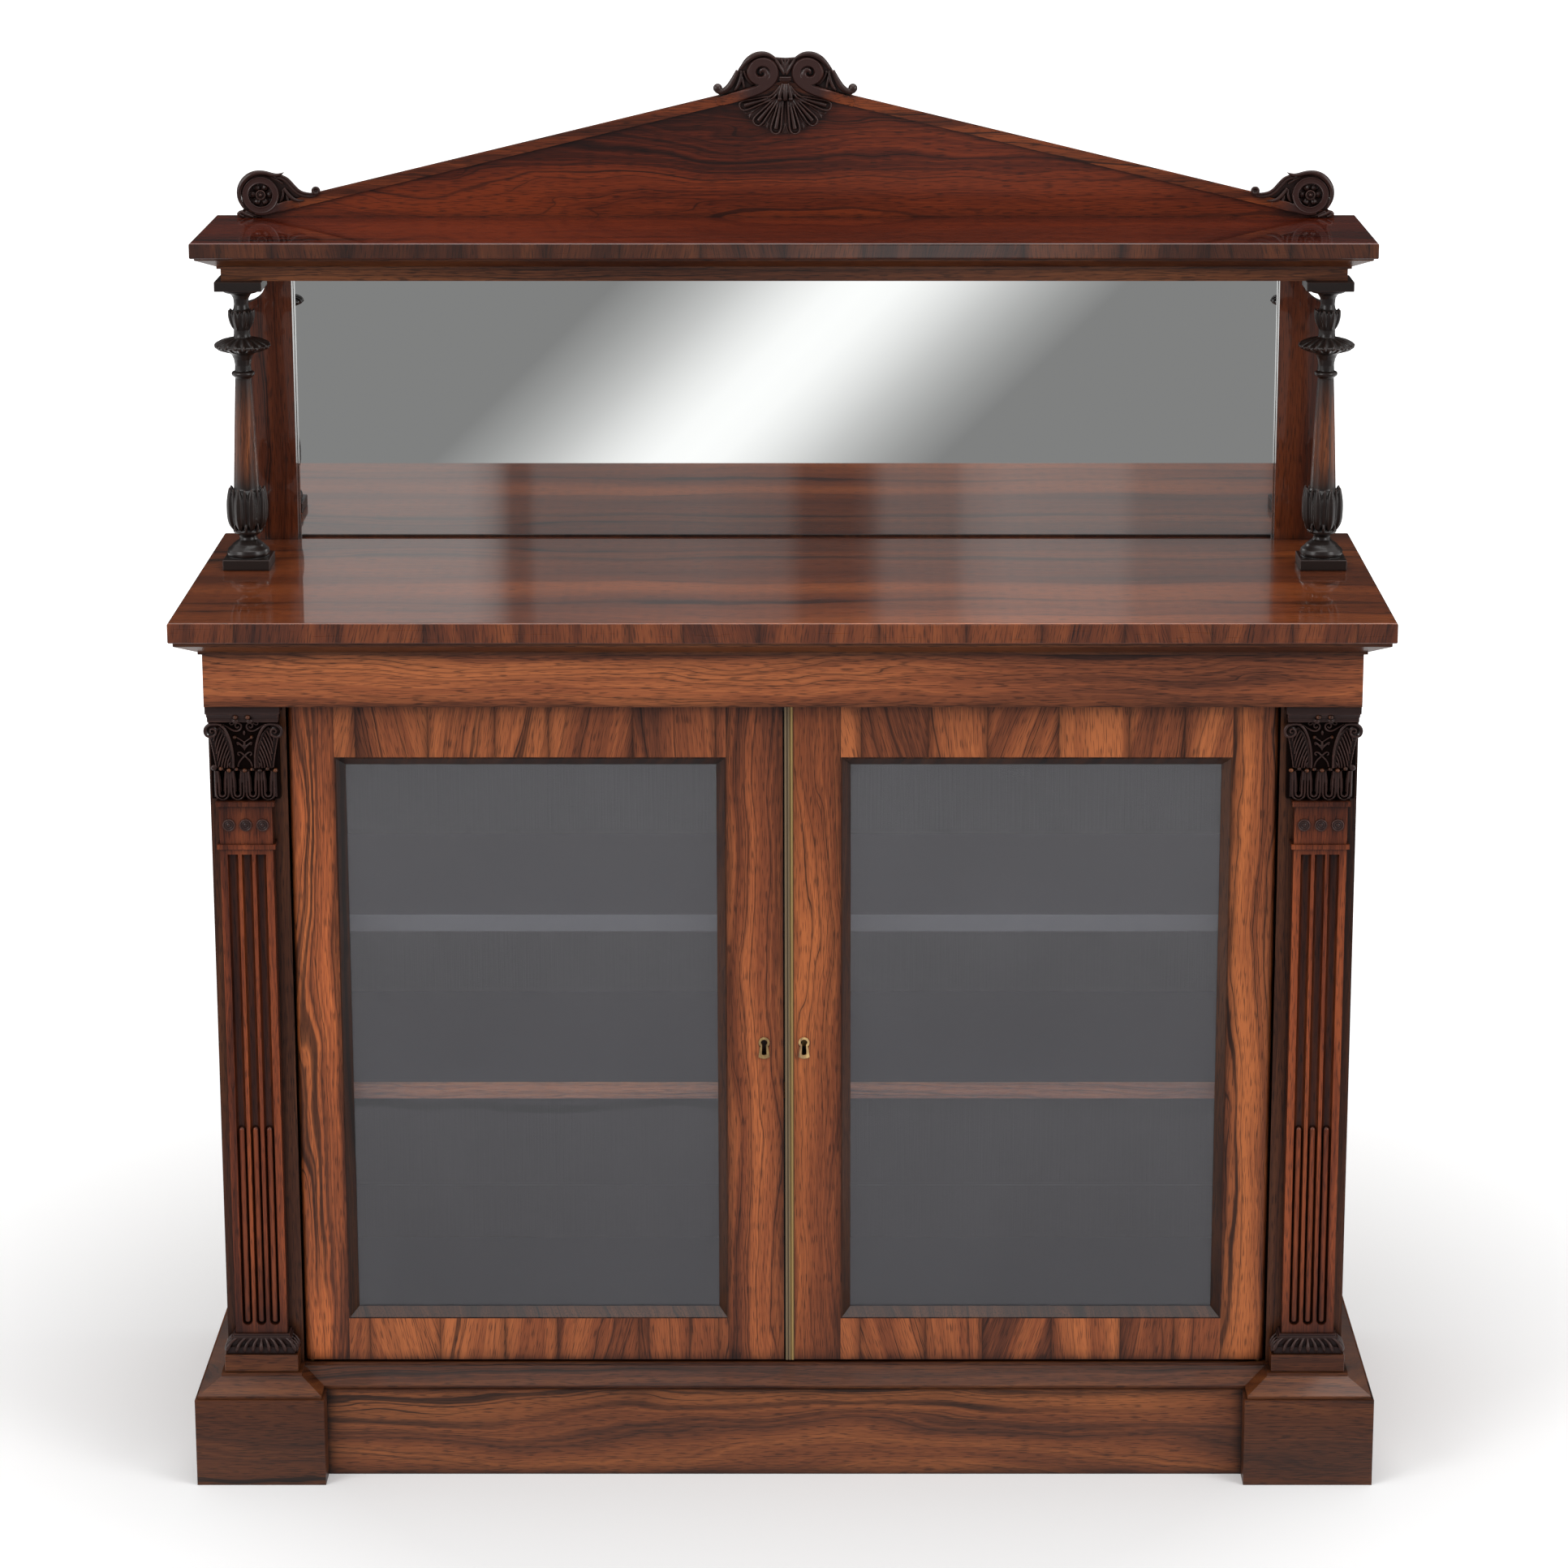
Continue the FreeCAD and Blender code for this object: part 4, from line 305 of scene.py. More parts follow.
def carvedRosewood(name, floor=None):
    # paler on the ridges, partly rubbed wear and partly painted highlight; painted shade in the hollows and
    # below the floor
    material, tree = startFinish(name)
    place = objectPlace(tree)
    ridge = addNode(tree, "ShaderNodeNewGeometry").outputs["Pointiness"]
    value = sums(tree, "MULTIPLY_ADD", stretched(tree, place, (60, 60, 60), 3.0, 0.6), 0.08, ridge)
    raised = ramp(tree, value, [(0.545, 0), (0.64, 1)])
    colour = blendColours(tree, raised, carvedLook["body"], carvedLook["rubbed"])
    opening = addNode(tree, "ShaderNodeAmbientOcclusion", {"Distance": 0.0035}, samples=6).outputs["AO"]
    clear = ramp(tree, opening, [(0.40, 0), (0.90, 1)])
    if floor is not None:
        sunk = between(tree, axes(tree, place)[1], floor - 0.0020, floor - 0.0005, 1.0, 0.05)
        clear = sums(tree, "MULTIPLY", clear, sunk)
    colour = blendColours(tree, clear, carvedLook["dark"], colour)
    surface = woodSurface(tree, colour, stretched(tree, place, (400, 400, 30), 2.0, 0.6), oiled)
    # the painted shade takes the shine as well
    tree.links.new(sums(tree, "MULTIPLY", clear, oiled["shine"]), surface.inputs["Specular IOR Level"])
    tree.links.new(sums(tree, "MULTIPLY", clear, oiled["coat"]), surface.inputs["Coat Weight"])
    return material


def rolledRosewood(name, dark, bare):
    # the rake veneer darkens where it rolls into a carved scroll
    material, tree = startFinish(name)
    veneer, fibre = rosewoodColour(tree, "X", **rakeLook)
    reach = sums(tree, "ABSOLUTE", axes(tree, objectPlace(tree))[0])
    colour = blendColours(tree, between(tree, reach, dark, bare), (0.033, 0.0122, 0.0100), veneer)
    # painted shade in the corners of the roll
    woodSurface(tree, darken(tree, colour, cornerShade(tree, 0.0035, 0.10)), fibre, oiled)
    return material


def turnedRosewood(name, low, high):
    # a polished shaft between carved ends
    material, tree = startFinish(name)
    shaft, fibre = rosewoodColour(tree, "Z", seed=19.0, figure=90.0, level=0.62)
    height = axes(tree, objectPlace(tree))[2]
    # the carved ends are paler on the ridges: partly wear, partly painted highlight
    ridge = addNode(tree, "ShaderNodeNewGeometry").outputs["Pointiness"]
    raised = ramp(tree, ridge, [(0.51, 0), (0.60, 1)])
    ends = blendColours(tree, raised, (0.012, 0.0075, 0.006), (0.055, 0.024, 0.017))
    # painted shade in the corners of the carved ends
    ends = darken(tree, ends, cornerShade(tree, 0.004))
    share = sums(tree, "MULTIPLY", between(tree, height, low, low + 0.035),
                 between(tree, height, high - 0.05, high, 1.0, 0.0))
    woodSurface(tree, blendColours(tree, share, ends, shaft), fibre, satin)
    return material


def paint(name, edgeColour=None, rough=0.6):
    # brushed paint, with another colour on the front edge if it has one
    material, tree = startFinish(name)
    place = objectPlace(tree)
    brush = stretched(tree, place, (9, 120, 120), 3.0, 0.6)
    patch = stretched(tree, place, (3, 3, 3), 2.0, 0.5)
    shade = sums(tree, "MULTIPLY_ADD", brush, 0.3, sums(tree, "MULTIPLY_ADD", patch, 0.5, 0.6))
    shade = addNode(tree, "ShaderNodeCombineColor", {0: shade, 1: shade, 2: shade}).outputs[0]
    colour = darken(tree, interiorColour, shade)
    if edgeColour:
        colour = blendColours(tree, sums(tree, "LESS_THAN", facing(tree)[1], -0.5), colour, edgeColour)
    height = addNode(tree, "ShaderNodeBump", {"Strength": 0.2, "Distance": 0.0005, "Height": brush})
    showPrincipled(tree, {"Base Color": colour, "Roughness": rough, "Normal": height.outputs[0]})
    return material


def pine(name, grain, paintedBefore=None):
    # bare wood, painted in front of a depth if one is given
    material, tree = startFinish(name)
    parts = axes(tree, objectPlace(tree))
    along, across, inward = (parts[number] for number in grainOrders[grain])
    wood = addNode(tree, "ShaderNodeCombineXYZ", {0: along, 1: across, 2: inward}).outputs[0]
    ring = sums(tree, "MULTIPLY_ADD", stretched(tree, wood, (1.6, 7, 7), 2.0), 0.09, across)
    darkening = stretched(tree, wood, (4, 9, 9), 4.0, 0.6, (2, 1, 5))
    fibre = stretched(tree, wood, (12, 500, 500), 2.0)
    colour = ramp(tree, lineNoise(tree, ring, 70.0, 3.0), [
        (0.35, (0.43, 0.238, 0.118)), (0.55, (0.36, 0.182, 0.082)), (0.72, (0.27, 0.122, 0.055)),
    ])
    colour = blendColours(tree, ramp(tree, darkening, [(0.45, 0), (0.80, 0.55)]), colour, (0.13, 0.072, 0.038))
    if paintedBefore is not None:
        colour = blendColours(tree, sums(tree, "LESS_THAN", parts[1], paintedBefore), colour, interiorColour)
    woodSurface(tree, colour, fibre, bareWood)
    return material


def oldBrass(name, bright, metallic=1.0):
    material, tree = startFinish(name)
    tarnish = stretched(tree, objectPlace(tree), (90, 90, 30), 4.0, 0.65)
    colour = ramp(tree, tarnish, [(0.38, (0.60 * bright, 0.40 * bright, 0.16 * bright)),
                                  (0.62, (0.16 * bright, 0.095 * bright, 0.045 * bright))])
    haze = sums(tree, "MULTIPLY_ADD", tarnish, 0.35, 0.18)
    showPrincipled(tree, {"Base Color": colour, "Metallic": metallic, "Roughness": haze})
    return material


def reededBrass(name, node, count):
    # dull reeds with painted shade between them, the last one rubbed bright
    material, tree = startFinish(name)
    low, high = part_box(node)
    place = objectPlace(tree)
    share = sums(tree, "DIVIDE", sums(tree, "SUBTRACT", axes(tree, place)[0], low.x), high.x - low.x)
    reed = sums(tree, "FRACT", sums(tree, "MULTIPLY", share, count))
    off = sums(tree, "ABSOLUTE", sums(tree, "SUBTRACT", reed, 0.5))
    tarnish = stretched(tree, place, (60, 60, 14), 3.0, 0.6)
    colour = ramp(tree, sums(tree, "MULTIPLY_ADD", tarnish, 0.5, share), [
        (0.2, (0.33, 0.24, 0.14)), (0.75, (0.26, 0.19, 0.115)), (0.98, (0.50, 0.34, 0.13)),
    ])
    # painted shade between the reeds
    colour = darken(tree, colour, ramp(tree, off, [(0.28, 1), (0.46, 0.22)]))
    haze = sums(tree, "MULTIPLY_ADD", tarnish, 0.2, 0.36)
    showPrincipled(tree, {"Base Color": colour, "Metallic": 0.6, "Roughness": haze})
    return material


def paneGlass(name):
    # old glass with a little dust, through which light passes
    material, tree = startFinish(name)
    pane = addNode(tree, "ShaderNodeBsdfPrincipled", {
        "Base Color": (0.95, 0.93, 0.965, 1), "Roughness": 0.0, "IOR": 1.5, "Transmission Weight": 1.0,
    })
    clear = addNode(tree, "ShaderNodeBsdfTransparent", {"Color": (0.9, 0.93, 0.92, 1)})
    haze = addNode(tree, "ShaderNodeBsdfDiffuse", {"Color": (0.80, 0.79, 0.86, 1)})
    ray = addNode(tree, "ShaderNodeLightPath").outputs
    through = sums(tree, "MAXIMUM", ray["Is Shadow Ray"], ray["Is Diffuse Ray"])
    smear = stretched(tree, objectPlace(tree), (9, 9, 5), 3.0, 0.6)
    dust = sums(tree, "MULTIPLY_ADD", smear, 0.012, 0.014)
    dusty = addNode(tree, "ShaderNodeMixShader", {0: dust, 1: pane.outputs[0], 2: haze.outputs[0]})
    show(tree, addNode(tree, "ShaderNodeMixShader", {0: through, 1: dusty.outputs[0], 2: clear.outputs[0]}))
    return material


def silveredGlass(name):
    material, tree = startFinish(name)
    ripple = stretched(tree, objectPlace(tree), (2.5, 2.5, 2.5), 1.0)
    height = addNode(tree, "ShaderNodeBump", {"Strength": 0.02, "Distance": 0.002, "Height": ripple})
    showPrincipled(tree, {"Base Color": (0.86, 0.875, 0.865, 1), "Metallic": 1.0, "Roughness": 0.015,
                          "Normal": height.outputs[0]})
    return material


def plainMetal(name):
    material, tree = startFinish(name)
    stain = stretched(tree, objectPlace(tree), (70, 70, 70), 3.0, 0.6)
    colour = ramp(tree, stain, [(0.4, 0.10), (0.7, (0.05, 0.035, 0.028))])
    showPrincipled(tree, {"Base Color": colour, "Metallic": 0.9, "Roughness": 0.5})
    return material


def partPainted(name, grain, shown, **changes):
    # veneer on the faces that show, paint on the rest
    material, tree = startFinish(name)
    colour, fibre = rosewoodColour(tree, grain, **changes)
    woodSurface(tree, blendColours(tree, shown(tree), interiorColour, colour), fibre, satin)
    return material


def outerFaces(tree):
    # of the case sides: the outer faces and the edges behind
    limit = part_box("carcass_sides")[1].x - 0.004
    outside = sums(tree, "GREATER_THAN", sums(tree, "ABSOLUTE", axes(tree, objectPlace(tree))[0]), limit)
    return sums(tree, "MAXIMUM", sums(tree, "GREATER_THAN", facing(tree)[1], 0.5), outside)


def frontFaces(tree):
    return sums(tree, "LESS_THAN", facing(tree)[1], -0.5)


interiorColour = (0.012, 0.0125, 0.016)
rakeLook = {"seed": 12.0, "figure": 60.0, "level": 0.46, "tint": (1.0, 0.68, 0.50), "veins": 3.0}
backLow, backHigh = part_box("framed_back")
# the edges and hollows some finishes are given are painted shade
finishes = {
    "tableTop": tableVeneer("table top veneer", 1.0, 0.74, figure=24.0, swirl=0.05, tint=(1.0, 0.82, 0.66),
                            shown=0.30, spread=1.05),
    "galleryTop": tableVeneer("gallery top veneer", 6.0, 0.33, figure=26.0, tint=(1.0, 0.36, 0.12)),
    "frieze": rosewood("frieze veneer", "X", seed=3.0, swirl=0.085, level=1.10, veins=7.0, shown=0.6,
                       spread=1.5, tint=(1.0, 0.97, 1.06), edges=sheetEdges("frieze_board", "Z")),
    "galleryFrieze": rosewood("gallery frieze veneer", "X", seed=9.0, figure=60.0, level=0.40),
    "moulding": rosewood("moulding rosewood", "X", seed=5.0, figure=60.0, level=0.35),
    "plinth": rosewood("plinth veneer", "X", waxed, seed=7.0, swirl=0.10, level=0.70,
                       edges=sheetEdges("plinth_front_board", "XZ")),
    "plinthBlock": rosewood("plinth block veneer", "X", waxed, seed=8.5, swirl=0.10, level=0.36),
    "plinthSide": rosewood("plinth side veneer", "Y", waxed, seed=2.5, level=0.5),
    "plinthCap": rosewood("plinth cap rosewood", "X", seed=4.2, figure=50.0, level=0.34),
    "pediment": rosewood("pediment veneer", "X", seed=11.0, figure=20.0, swirl=0.14, level=0.36,
                         tint=(1.0, 0.46, 0.20), veins=8.0, spread=2.1, shown=0.4),
    "rake": rosewood("rake band veneer", "X", **rakeLook),
    "crestRoll": rolledRosewood("crest volutes", 0.036, 0.058),
    "scrollRoll": rolledRosewood("rolled rake end", 0.540, 0.512),
    "rail": rosewood("door rail leaves", "Z", seed=15.0, leaf=0.072, figure=24.0, swirl=0.08, leafTone=0.10,
                     level=1.05, spread=1.2, tint=(1.0, 0.94, 0.98),
                     edges=sheetEdges("left_door_rails", "Z")),
    "corner": rosewood("corner stile veneer", "Z", seed=16.0, figure=50.0, level=0.34),
    "pilaster": rosewood("pilaster rosewood", "Z", seed=17.0, figure=60.0, level=0.66, veins=2.0,
                         tint=(1.0, 0.70, 0.60), edges=sheetEdges("left_pilaster_shaft", "Z", 0.10),
                         hollows=[("Y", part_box("left_pilaster_shaft")[0].y + 0.0032, 0.0016)]),
    "footBlock": rosewood("foot block rosewood", "X", seed=22.0, figure=50.0, level=0.36, veins=2.0),
    "rubbed": rosewood("rubbed rosewood", "Z", seed=23.0, figure=90.0, level=0.52, veins=1.0),
    "upright": rosewood("upright veneer", "Z", frenchPolish, seed=18.0, figure=22.0, level=0.26,
                        tint=(1.0, 0.7, 0.6)),
    "glazing": rosewood("glazing moulding", "Z", seed=20.0, figure=60.0, level=0.165),
    "side": partPainted("case side veneer", "Z", outerFaces, seed=2.0, level=0.8),
    "shelfFront": partPainted("lower shelf", "X", frontFaces, seed=21.0, figure=60.0, level=0.56,
                              tint=(0.93, 1.0, 1.12)),
    "carved": carvedRosewood("carved rosewood"),
    "carvedCapital": carvedRosewood("carved capital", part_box("left_pilaster_capital")[1].y - 0.008),
    "columnWood": turnedRosewood("turned column", 1.002, 1.121),
    "interior": paint("interior paint"),
    "shelfPaint": paint("shelf paint", (0.045, 0.047, 0.056), 0.5),
    "pineX": pine("pine lengthways", "X"),
    "pineZ": pine("pine upright", "Z"),
    "caseBack": pine("case back boards", "Z", (backLow.y + backHigh.y) / 2),
    "dullBrass": oldBrass("dull brass", 0.55),
    "brightBrass": oldBrass("bright brass", 1.6, 0.15),
    "ringBrass": oldBrass("worn brass", 0.95, 0.4),
    "strip": reededBrass("reeded brass", "brass_meeting_strip", 3.0),
    "pane": paneGlass("pane glass"),
    "mirror": silveredGlass("silvered glass"),
    "iron": plainMetal("lock iron"),
}
stiles = {  # seed, level, tint, reach of the painted edge shade
    "left_door_hanging_stile": (13.0, 1.78, (1.0, 0.90, 0.82), 0.012),
    "left_door_meeting_stile": (13.9, 1.06, (1.0, 0.90, 0.90), 0.016),
    "right_door_meeting_stile": (14.5, 1.02, (1.0, 0.90, 0.86), 0.016),
    "right_door_hanging_stile": (15.2, 1.06, (1.0, 0.92, 0.88), 0.012),
}
finishNodes = {  # a star stands for left and right
    "tableTop": "top_board", "galleryTop": "gallery_shelf", "frieze": "frieze_board",
    "galleryFrieze": "gallery_frieze", "moulding": "gallery_moulding table_moulding",
    "plinth": "plinth_front_board", "plinthBlock": "*_plinth_block", "plinthSide": "plinth_side_boards",
    "plinthCap": "plinth_cap", "pediment": "pediment_board", "rake": "rake_bands", "corner": "corner_stiles",
    "upright": "gallery_uprights", "rail": "*_door_rails",
    "glazing": "*_door_glazing_moulding *_door_glass_bead",
    "pane": "*_door_glass", "mirror": "mirror_plate", "side": "carcass_sides", "caseBack": "framed_back",
    "interior": "bottom_board shelf_bearers head_rail",
    "shelfPaint": "upper_shelf", "shelfFront": "lower_shelf",
    "pineX": "top_rails plinth_back_rail", "pineZ": "mirror_backboard", "pilaster": "*_pilaster_shaft",
    "carved": "*_pilaster_foot *_pilaster_capital *_scroll_end pediment_crest",
    "columnWood": "*_gallery_column",
    "dullBrass": "left_escutcheon lock_bolt door_bolt_plates top_door_bolt bottom_door_bolt pivot_pins "
                 "*_door_pivot_plates",
    "brightBrass": "right_escutcheon", "strip": "brass_meeting_strip", "iron": "lock_case",
}


def giveFinish(thing, finish):
    thing.data.materials.clear()
    thing.data.materials.append(finish)


for nodeName, (seed, level, tint, reach) in stiles.items():
    name = nodeName.replace("_door", "").replace("_", " ") + " veneer"
    veneer = rosewood(name, "Z", seed=seed, figure=30.0, swirl=0.09, spread=1.5, level=level, tint=tint,
                      edges=sheetEdges(nodeName, "XZ", reach))
    giveFinish(nodes[nodeName], veneer)
for finishName, words in finishNodes.items():
    for word in words.split():
        for hand in hands if "*" in word else [""]:
            giveFinish(nodes[word.replace("*", hand)], finishes[finishName])
print("finishes on the nodes:", sum(bool(node.data.materials) for node in nodes.values()))


# carving: drawn strands, webs and beads, joined and worked over as one block

def pickOnly(*things):
    bpy.ops.object.select_all(action="DESELECT")
    for thing in things:
        thing.select_set(True)
    bpy.context.view_layer.objects.active = things[0]


def nameThing(thing, name):
    thing.name = name
    thing.data.name = name
    return thing


def copyPiece(thing, name):
    twin = thing.copy()
    twin.data = thing.data.copy()
    bpy.context.scene.collection.objects.link(twin)
    return nameThing(twin, name)


def joinParts(parts, name):
    pickOnly(*parts)
    bpy.ops.object.join()
    bpy.ops.object.shade_smooth()
    return nameThing(bpy.context.object, name)


def modify(thing, kind, **settings):
    pickOnly(thing)
    modifier = thing.modifiers.new(kind.lower(), kind)
    for key, value in settings.items():
        setattr(modifier, key, value)
    bpy.ops.object.modifier_apply(modifier=modifier.name)
    return thing


def workOver(parts, name, grain=0.55, kept=0.6, passes=1):
    # the overlapping parts become one closed skin, thinned where it is flat
    thing = joinParts(parts, name)
    modify(thing, "REMESH", mode="VOXEL", voxel_size=grain)
    modify(thing, "SMOOTH", factor=0.5, iterations=passes)
    modify(thing, "DECIMATE", ratio=kept)
    bpy.ops.object.shade_smooth()
    return thing


def applyPlace(thing):
    bpy.ops.object.transform_apply(location=True, rotation=True, scale=True)
    return thing


def startDrawing():
    bpy.ops.curve.primitive_bezier_curve_add()
    thing = bpy.context.object
    thing.data.splines.clear()
    return thing, thing.data


def drawStrands(strands):
    # round stems: each is [(x, height, proud, half width), ...], in millimetres
    thing, drawing = startDrawing()
    drawing.bevel_depth = 1.0
    drawing.bevel_resolution = 2
    drawing.resolution_u = 5
    drawing.use_fill_caps = True
    for strand in strands:
        line = drawing.splines.new("NURBS")
        line.points.add(len(strand) - 1)
        for point, (across, height, proud, half) in zip(line.points, strand):
            point.co = (across, -proud, height, 1)
            point.radius = half
        line.order_u = min(4, len(strand))
        line.use_endpoint_u = True
    bpy.ops.object.convert(target="MESH")
    return thing


def drawWeb(outline, back, front, *holes):
    # a flat web with the outline [(x, height), ...] and holes drawn the same way
    thing, drawing = startDrawing()
    drawing.dimensions = "2D"
    drawing.fill_mode = "BOTH"
    drawing.extrude = (front - back) / 2
    for ring in (outline, *holes):
        line = drawing.splines.new("POLY")
        line.points.add(len(ring) - 1)
        line.use_cyclic_u = True
        for point, (across, height) in zip(line.points, ring):
            point.co = (across, height, 0, 1)
    thing.rotation_euler = (math.pi / 2, 0, 0)
    thing.location = (0, -(front + back) / 2, 0)
    bpy.ops.object.convert(target="MESH")
    return applyPlace(thing)


def addBead(across, height, proud, size):
    place = (across, -proud, height)
    bpy.ops.mesh.primitive_uv_sphere_add(segments=20, ring_count=12, location=place, scale=size)
    return applyPlace(bpy.context.object)


def addBlock(low, high):
    middle = [(a + b) / 2 for a, b in zip(low, high)]
    bpy.ops.mesh.primitive_cube_add(size=1, location=middle, scale=[b - a for a, b in zip(low, high)])
    return applyPlace(bpy.context.object)


def addCores(rows):
    # blocks about the middle: half width, front, foot and top
    return [addBlock((-wide, -front, low), (wide, 0, high)) for wide, front, low, high in rows]


def flattenFront(thing, top):
    # cuts a face at the height above the ground that top gives for this distance across
    for corner in thing.data.vertices:
        corner.co.y = max(corner.co.y, -top(corner.co.x))
    return thing


def slopeBetween(start, low, end, high):
    return lambda across: low + (high - low) * min(1, max(0, (across - start) / (end - start)))


def spiral(middle, table, step=30):
    # one stroke through the table's (degrees, radius, half width)
    stroke = []
    for first, last in zip(table, table[1:]):
        count = max(1, round((last[0] - first[0]) / step))
        stroke += [[a + (b - a) * (number / count) for a, b in zip(first, last)] for number in range(count)]
    stroke.append(table[-1])
    stroke = [(math.radians(angle), radius, half) for angle, radius, half in stroke]
    return [(middle[0] + radius * math.cos(turn), middle[1] - radius * math.sin(turn), half)
            for turn, radius, half in stroke]


def hoop(middle, radius, half):
    return spiral(middle, ((0, radius, half), (360, radius, half)), 15)


class Chart:
    # turns drawing units into millimetres from the drawing's middle and foot
    def __init__(self, middle, foot, scale):
        self.middle = middle
        self.foot = foot
        self.scale = scale

    def spot(self, across, down):
        return ((across - self.middle) * self.scale, (self.foot - down) * self.scale)

    def outline(self, points):
        return [self.spot(*point) for point in points]

    def line(self, points, proud, side=1):
        # a point is (across, down, half width) and may have its own height
        strand = []
        for across, down, half, *lift in points:
            x, z = self.spot(across, down)
            strand.append((side * x, z, lift[0] if lift else proud, half * self.scale))
        return strand

    def both(self, lines, proud):
        return [self.line(points, proud, side) for points in lines for side in (1, -1)]

    def raised(self, strokes, face=0.0, way=1):
        # both hands of strokes given with their heights, or with their depths (way -1) under a face
        strands = []
        for height, points in strokes:
            strands += self.both([points], face + way * height)
        return strands

    def bead(self, across, down, proud, size):
        return addBead(*self.spot(across, down), proud, size)


def seat(thing, place, side=1):
    # from millimetres on the bench to metres on the piece
    if side < 0:
        thing.data.transform(Matrix.Diagonal((-1, 1, 1, 1)))
        thing.data.flip_normals()
    thing.data.transform(Matrix.Translation(place) @ Matrix.Scale(0.001, 4))


def addPiece(thing, finish, body="carcass", replaced=None):
    giveFinish(thing, finishes[finish])
    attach(thing, body)
    if replaced:
        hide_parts(replaced)
    print("added", thing.name, len(thing.data.polygons), "faces")


def addPair(left, nodeWords, place, finish, replaces=True):
    # a piece made for the left side, and its mirrored twin
    right = copyPiece(left, left.name.replace("left", "right"))
    for thing, (hand, side) in zip((left, right), hands.items()):
        node = hand + nodeWords
        seat(thing, place(*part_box(node), side), side)
        addPiece(thing, finish, replaced=node if replaces else None)


def backFoot(low, high, side):
    return Vector(((low.x + high.x) / 2, high.y, low.z))


# pilaster capitals: lotus band, plumes and volutes under an abacus
capital = {
    "chart": (430, 968, 0.1075),
    "cores": ((34.5, 8.0, 31.0, 100.5), (34.5, 3.5, 0.5, 31.5)),
    "bands": ((34.5, 0.5, 31.5, 8.0), (31.5, 3.0, 31.0, 10.2)),    # half width, foot, top, front
    "hole": (905, 20),                                  # down, radius
    "loopCentres": (212, 355, 498, 641),
    "loopRows": ((30, 1.32, 11.7), (59, 1.0, 11.3)),    # reach, lean, height
    "beads": ((207, 662, 22, 12.4), (280, 678, 22, 12.8), (350, 668, 20, 12.4), (428, 678, 22, 12.8),
              (500, 668, 20, 12.4), (570, 680, 22, 12.8), (641, 664, 20, 12.4), (718, 676, 22, 12.8),
              (366, 142, 24, 21.8), (482, 142, 24, 21.8), (341, 362, 19, 10.6), (504, 362, 19, 10.6)),
    "plume": [(118, 350), (150, 270), (205, 262), (262, 330), (300, 430), (318, 560), (318, 660), (170, 660),
              (150, 520)],
    "plumeFront": 11.4,
    "stud": (140, 655, 11.6, (3.2, 2.0, 3.0)),
    "knobs": (  # out from the middle, down, height, size
        (-302, 288, 10.0, (6.6, 5.0, 6.6)),
        (66, 182, 20.4, (3.2, 1.8, 2.4)),
    ),
    "plumeStrokes": (  # height, stroke
        (15.0, [(172, 222, 12), (225, 228, 14), (268, 285, 13), (300, 370, 12), (322, 460, 12),
                (331, 560, 11), (328, 650, 11)]),
        (16.5, [(225, 228, 12), (165, 212, 15), (95, 225, 16), (62, 285, 16), (85, 345, 14), (140, 345, 12),
                (178, 320, 10), (172, 275, 9), (135, 262, 8), (112, 290, 7), (132, 315, 6), (148, 300, 5)]),
        (12.5, [(105, 335, 6), (128, 430, 6), (150, 540, 6), (162, 650, 6)]),
    ),
    "fieldStrokes": (
        (9.4, [(232, 238, 6), (275, 262, 7.5), (318, 300, 9.8), (372, 308, 10.5), (408, 280, 10.5),
               (406, 238, 9.8), (372, 220, 9.8), (345, 240, 9), (350, 272, 9), (378, 278, 9),
               (382, 256, 7.5)]),
        (9.4, [(345, 222, 6.8), (318, 250, 7.5), (292, 240, 7.5), (296, 218, 6.8), (312, 222, 6)]),
        (9.2, [(362, 655, 9), (368, 610, 9), (402, 572, 9), (440, 535, 9.8), (472, 505, 9), (498, 512, 8.2),
               (496, 540, 8.2), (476, 538, 7.5)]),
        (9.2, [(430, 470, 12), (405, 445, 10.5), (380, 425, 9.8), (362, 408, 9), (360, 432, 8.2),
               (374, 440, 7.5)]),
        (9.2, [(430, 415, 6), (405, 395, 6), (372, 372, 7.5), (345, 362, 9)]),
    ),
    "buds": (
        [(430, 405, 10.5), (430, 440, 18), (430, 492, 7.5)],
        [(430, 300, 7.5), (430, 322, 19.5), (430, 345, 7.5)],
    ),
    "barbs": (((292, 655), (302, 590), 7), ((268, 655), (298, 535), 9), ((240, 655), (290, 485), 9.5),
              ((212, 652), (280, 438), 10), ((186, 640), (268, 392), 10), ((176, 585), (250, 350), 10),
              ((168, 520), (232, 318), 10), ((160, 455), (212, 292), 9.5), ((148, 395), (186, 272), 9),
              ((138, 360), (160, 285), 7)),
    "barbHeight": 12.6,
    "budHeight": 9.0,
    "abacus": ((35.8, 19.5, 83.0, 100.5), (37.6, 22.0, 92.0, 100.5)),
    "lips": ((20.8, 92.0), (19.4, 89.8)),                # depth, height
    "lipEnd": 36.4,
    "lipThick": 2.0,
}


def buildCapitalBeads():
    # polished beads over the loops, and the berries on the abacus
    chart = Chart(*capital["chart"])
    beads = []
    for across, down, radius, proud in capital["beads"]:
        r = radius * chart.scale
        beads.append(chart.bead(across, down, proud, (r, r * 0.9, r * 0.86)))
    return joinParts(beads, "left_capital_beads")


def slotOutline(middle):
    # a slit that opens upwards from a round hole
    slit = [(-26, 686), (-13, 780), (-10, 880)]
    eye, radius = capital["hole"]
    hole = []
    for number in range(11):
        angle = math.radians(120 + 30 * number)
        hole.append((radius * math.cos(angle), eye - radius * math.sin(angle)))
    back = [(-across, down) for across, down in reversed(slit)]
    return [(middle + across, down) for across, down in slit + hole + back]


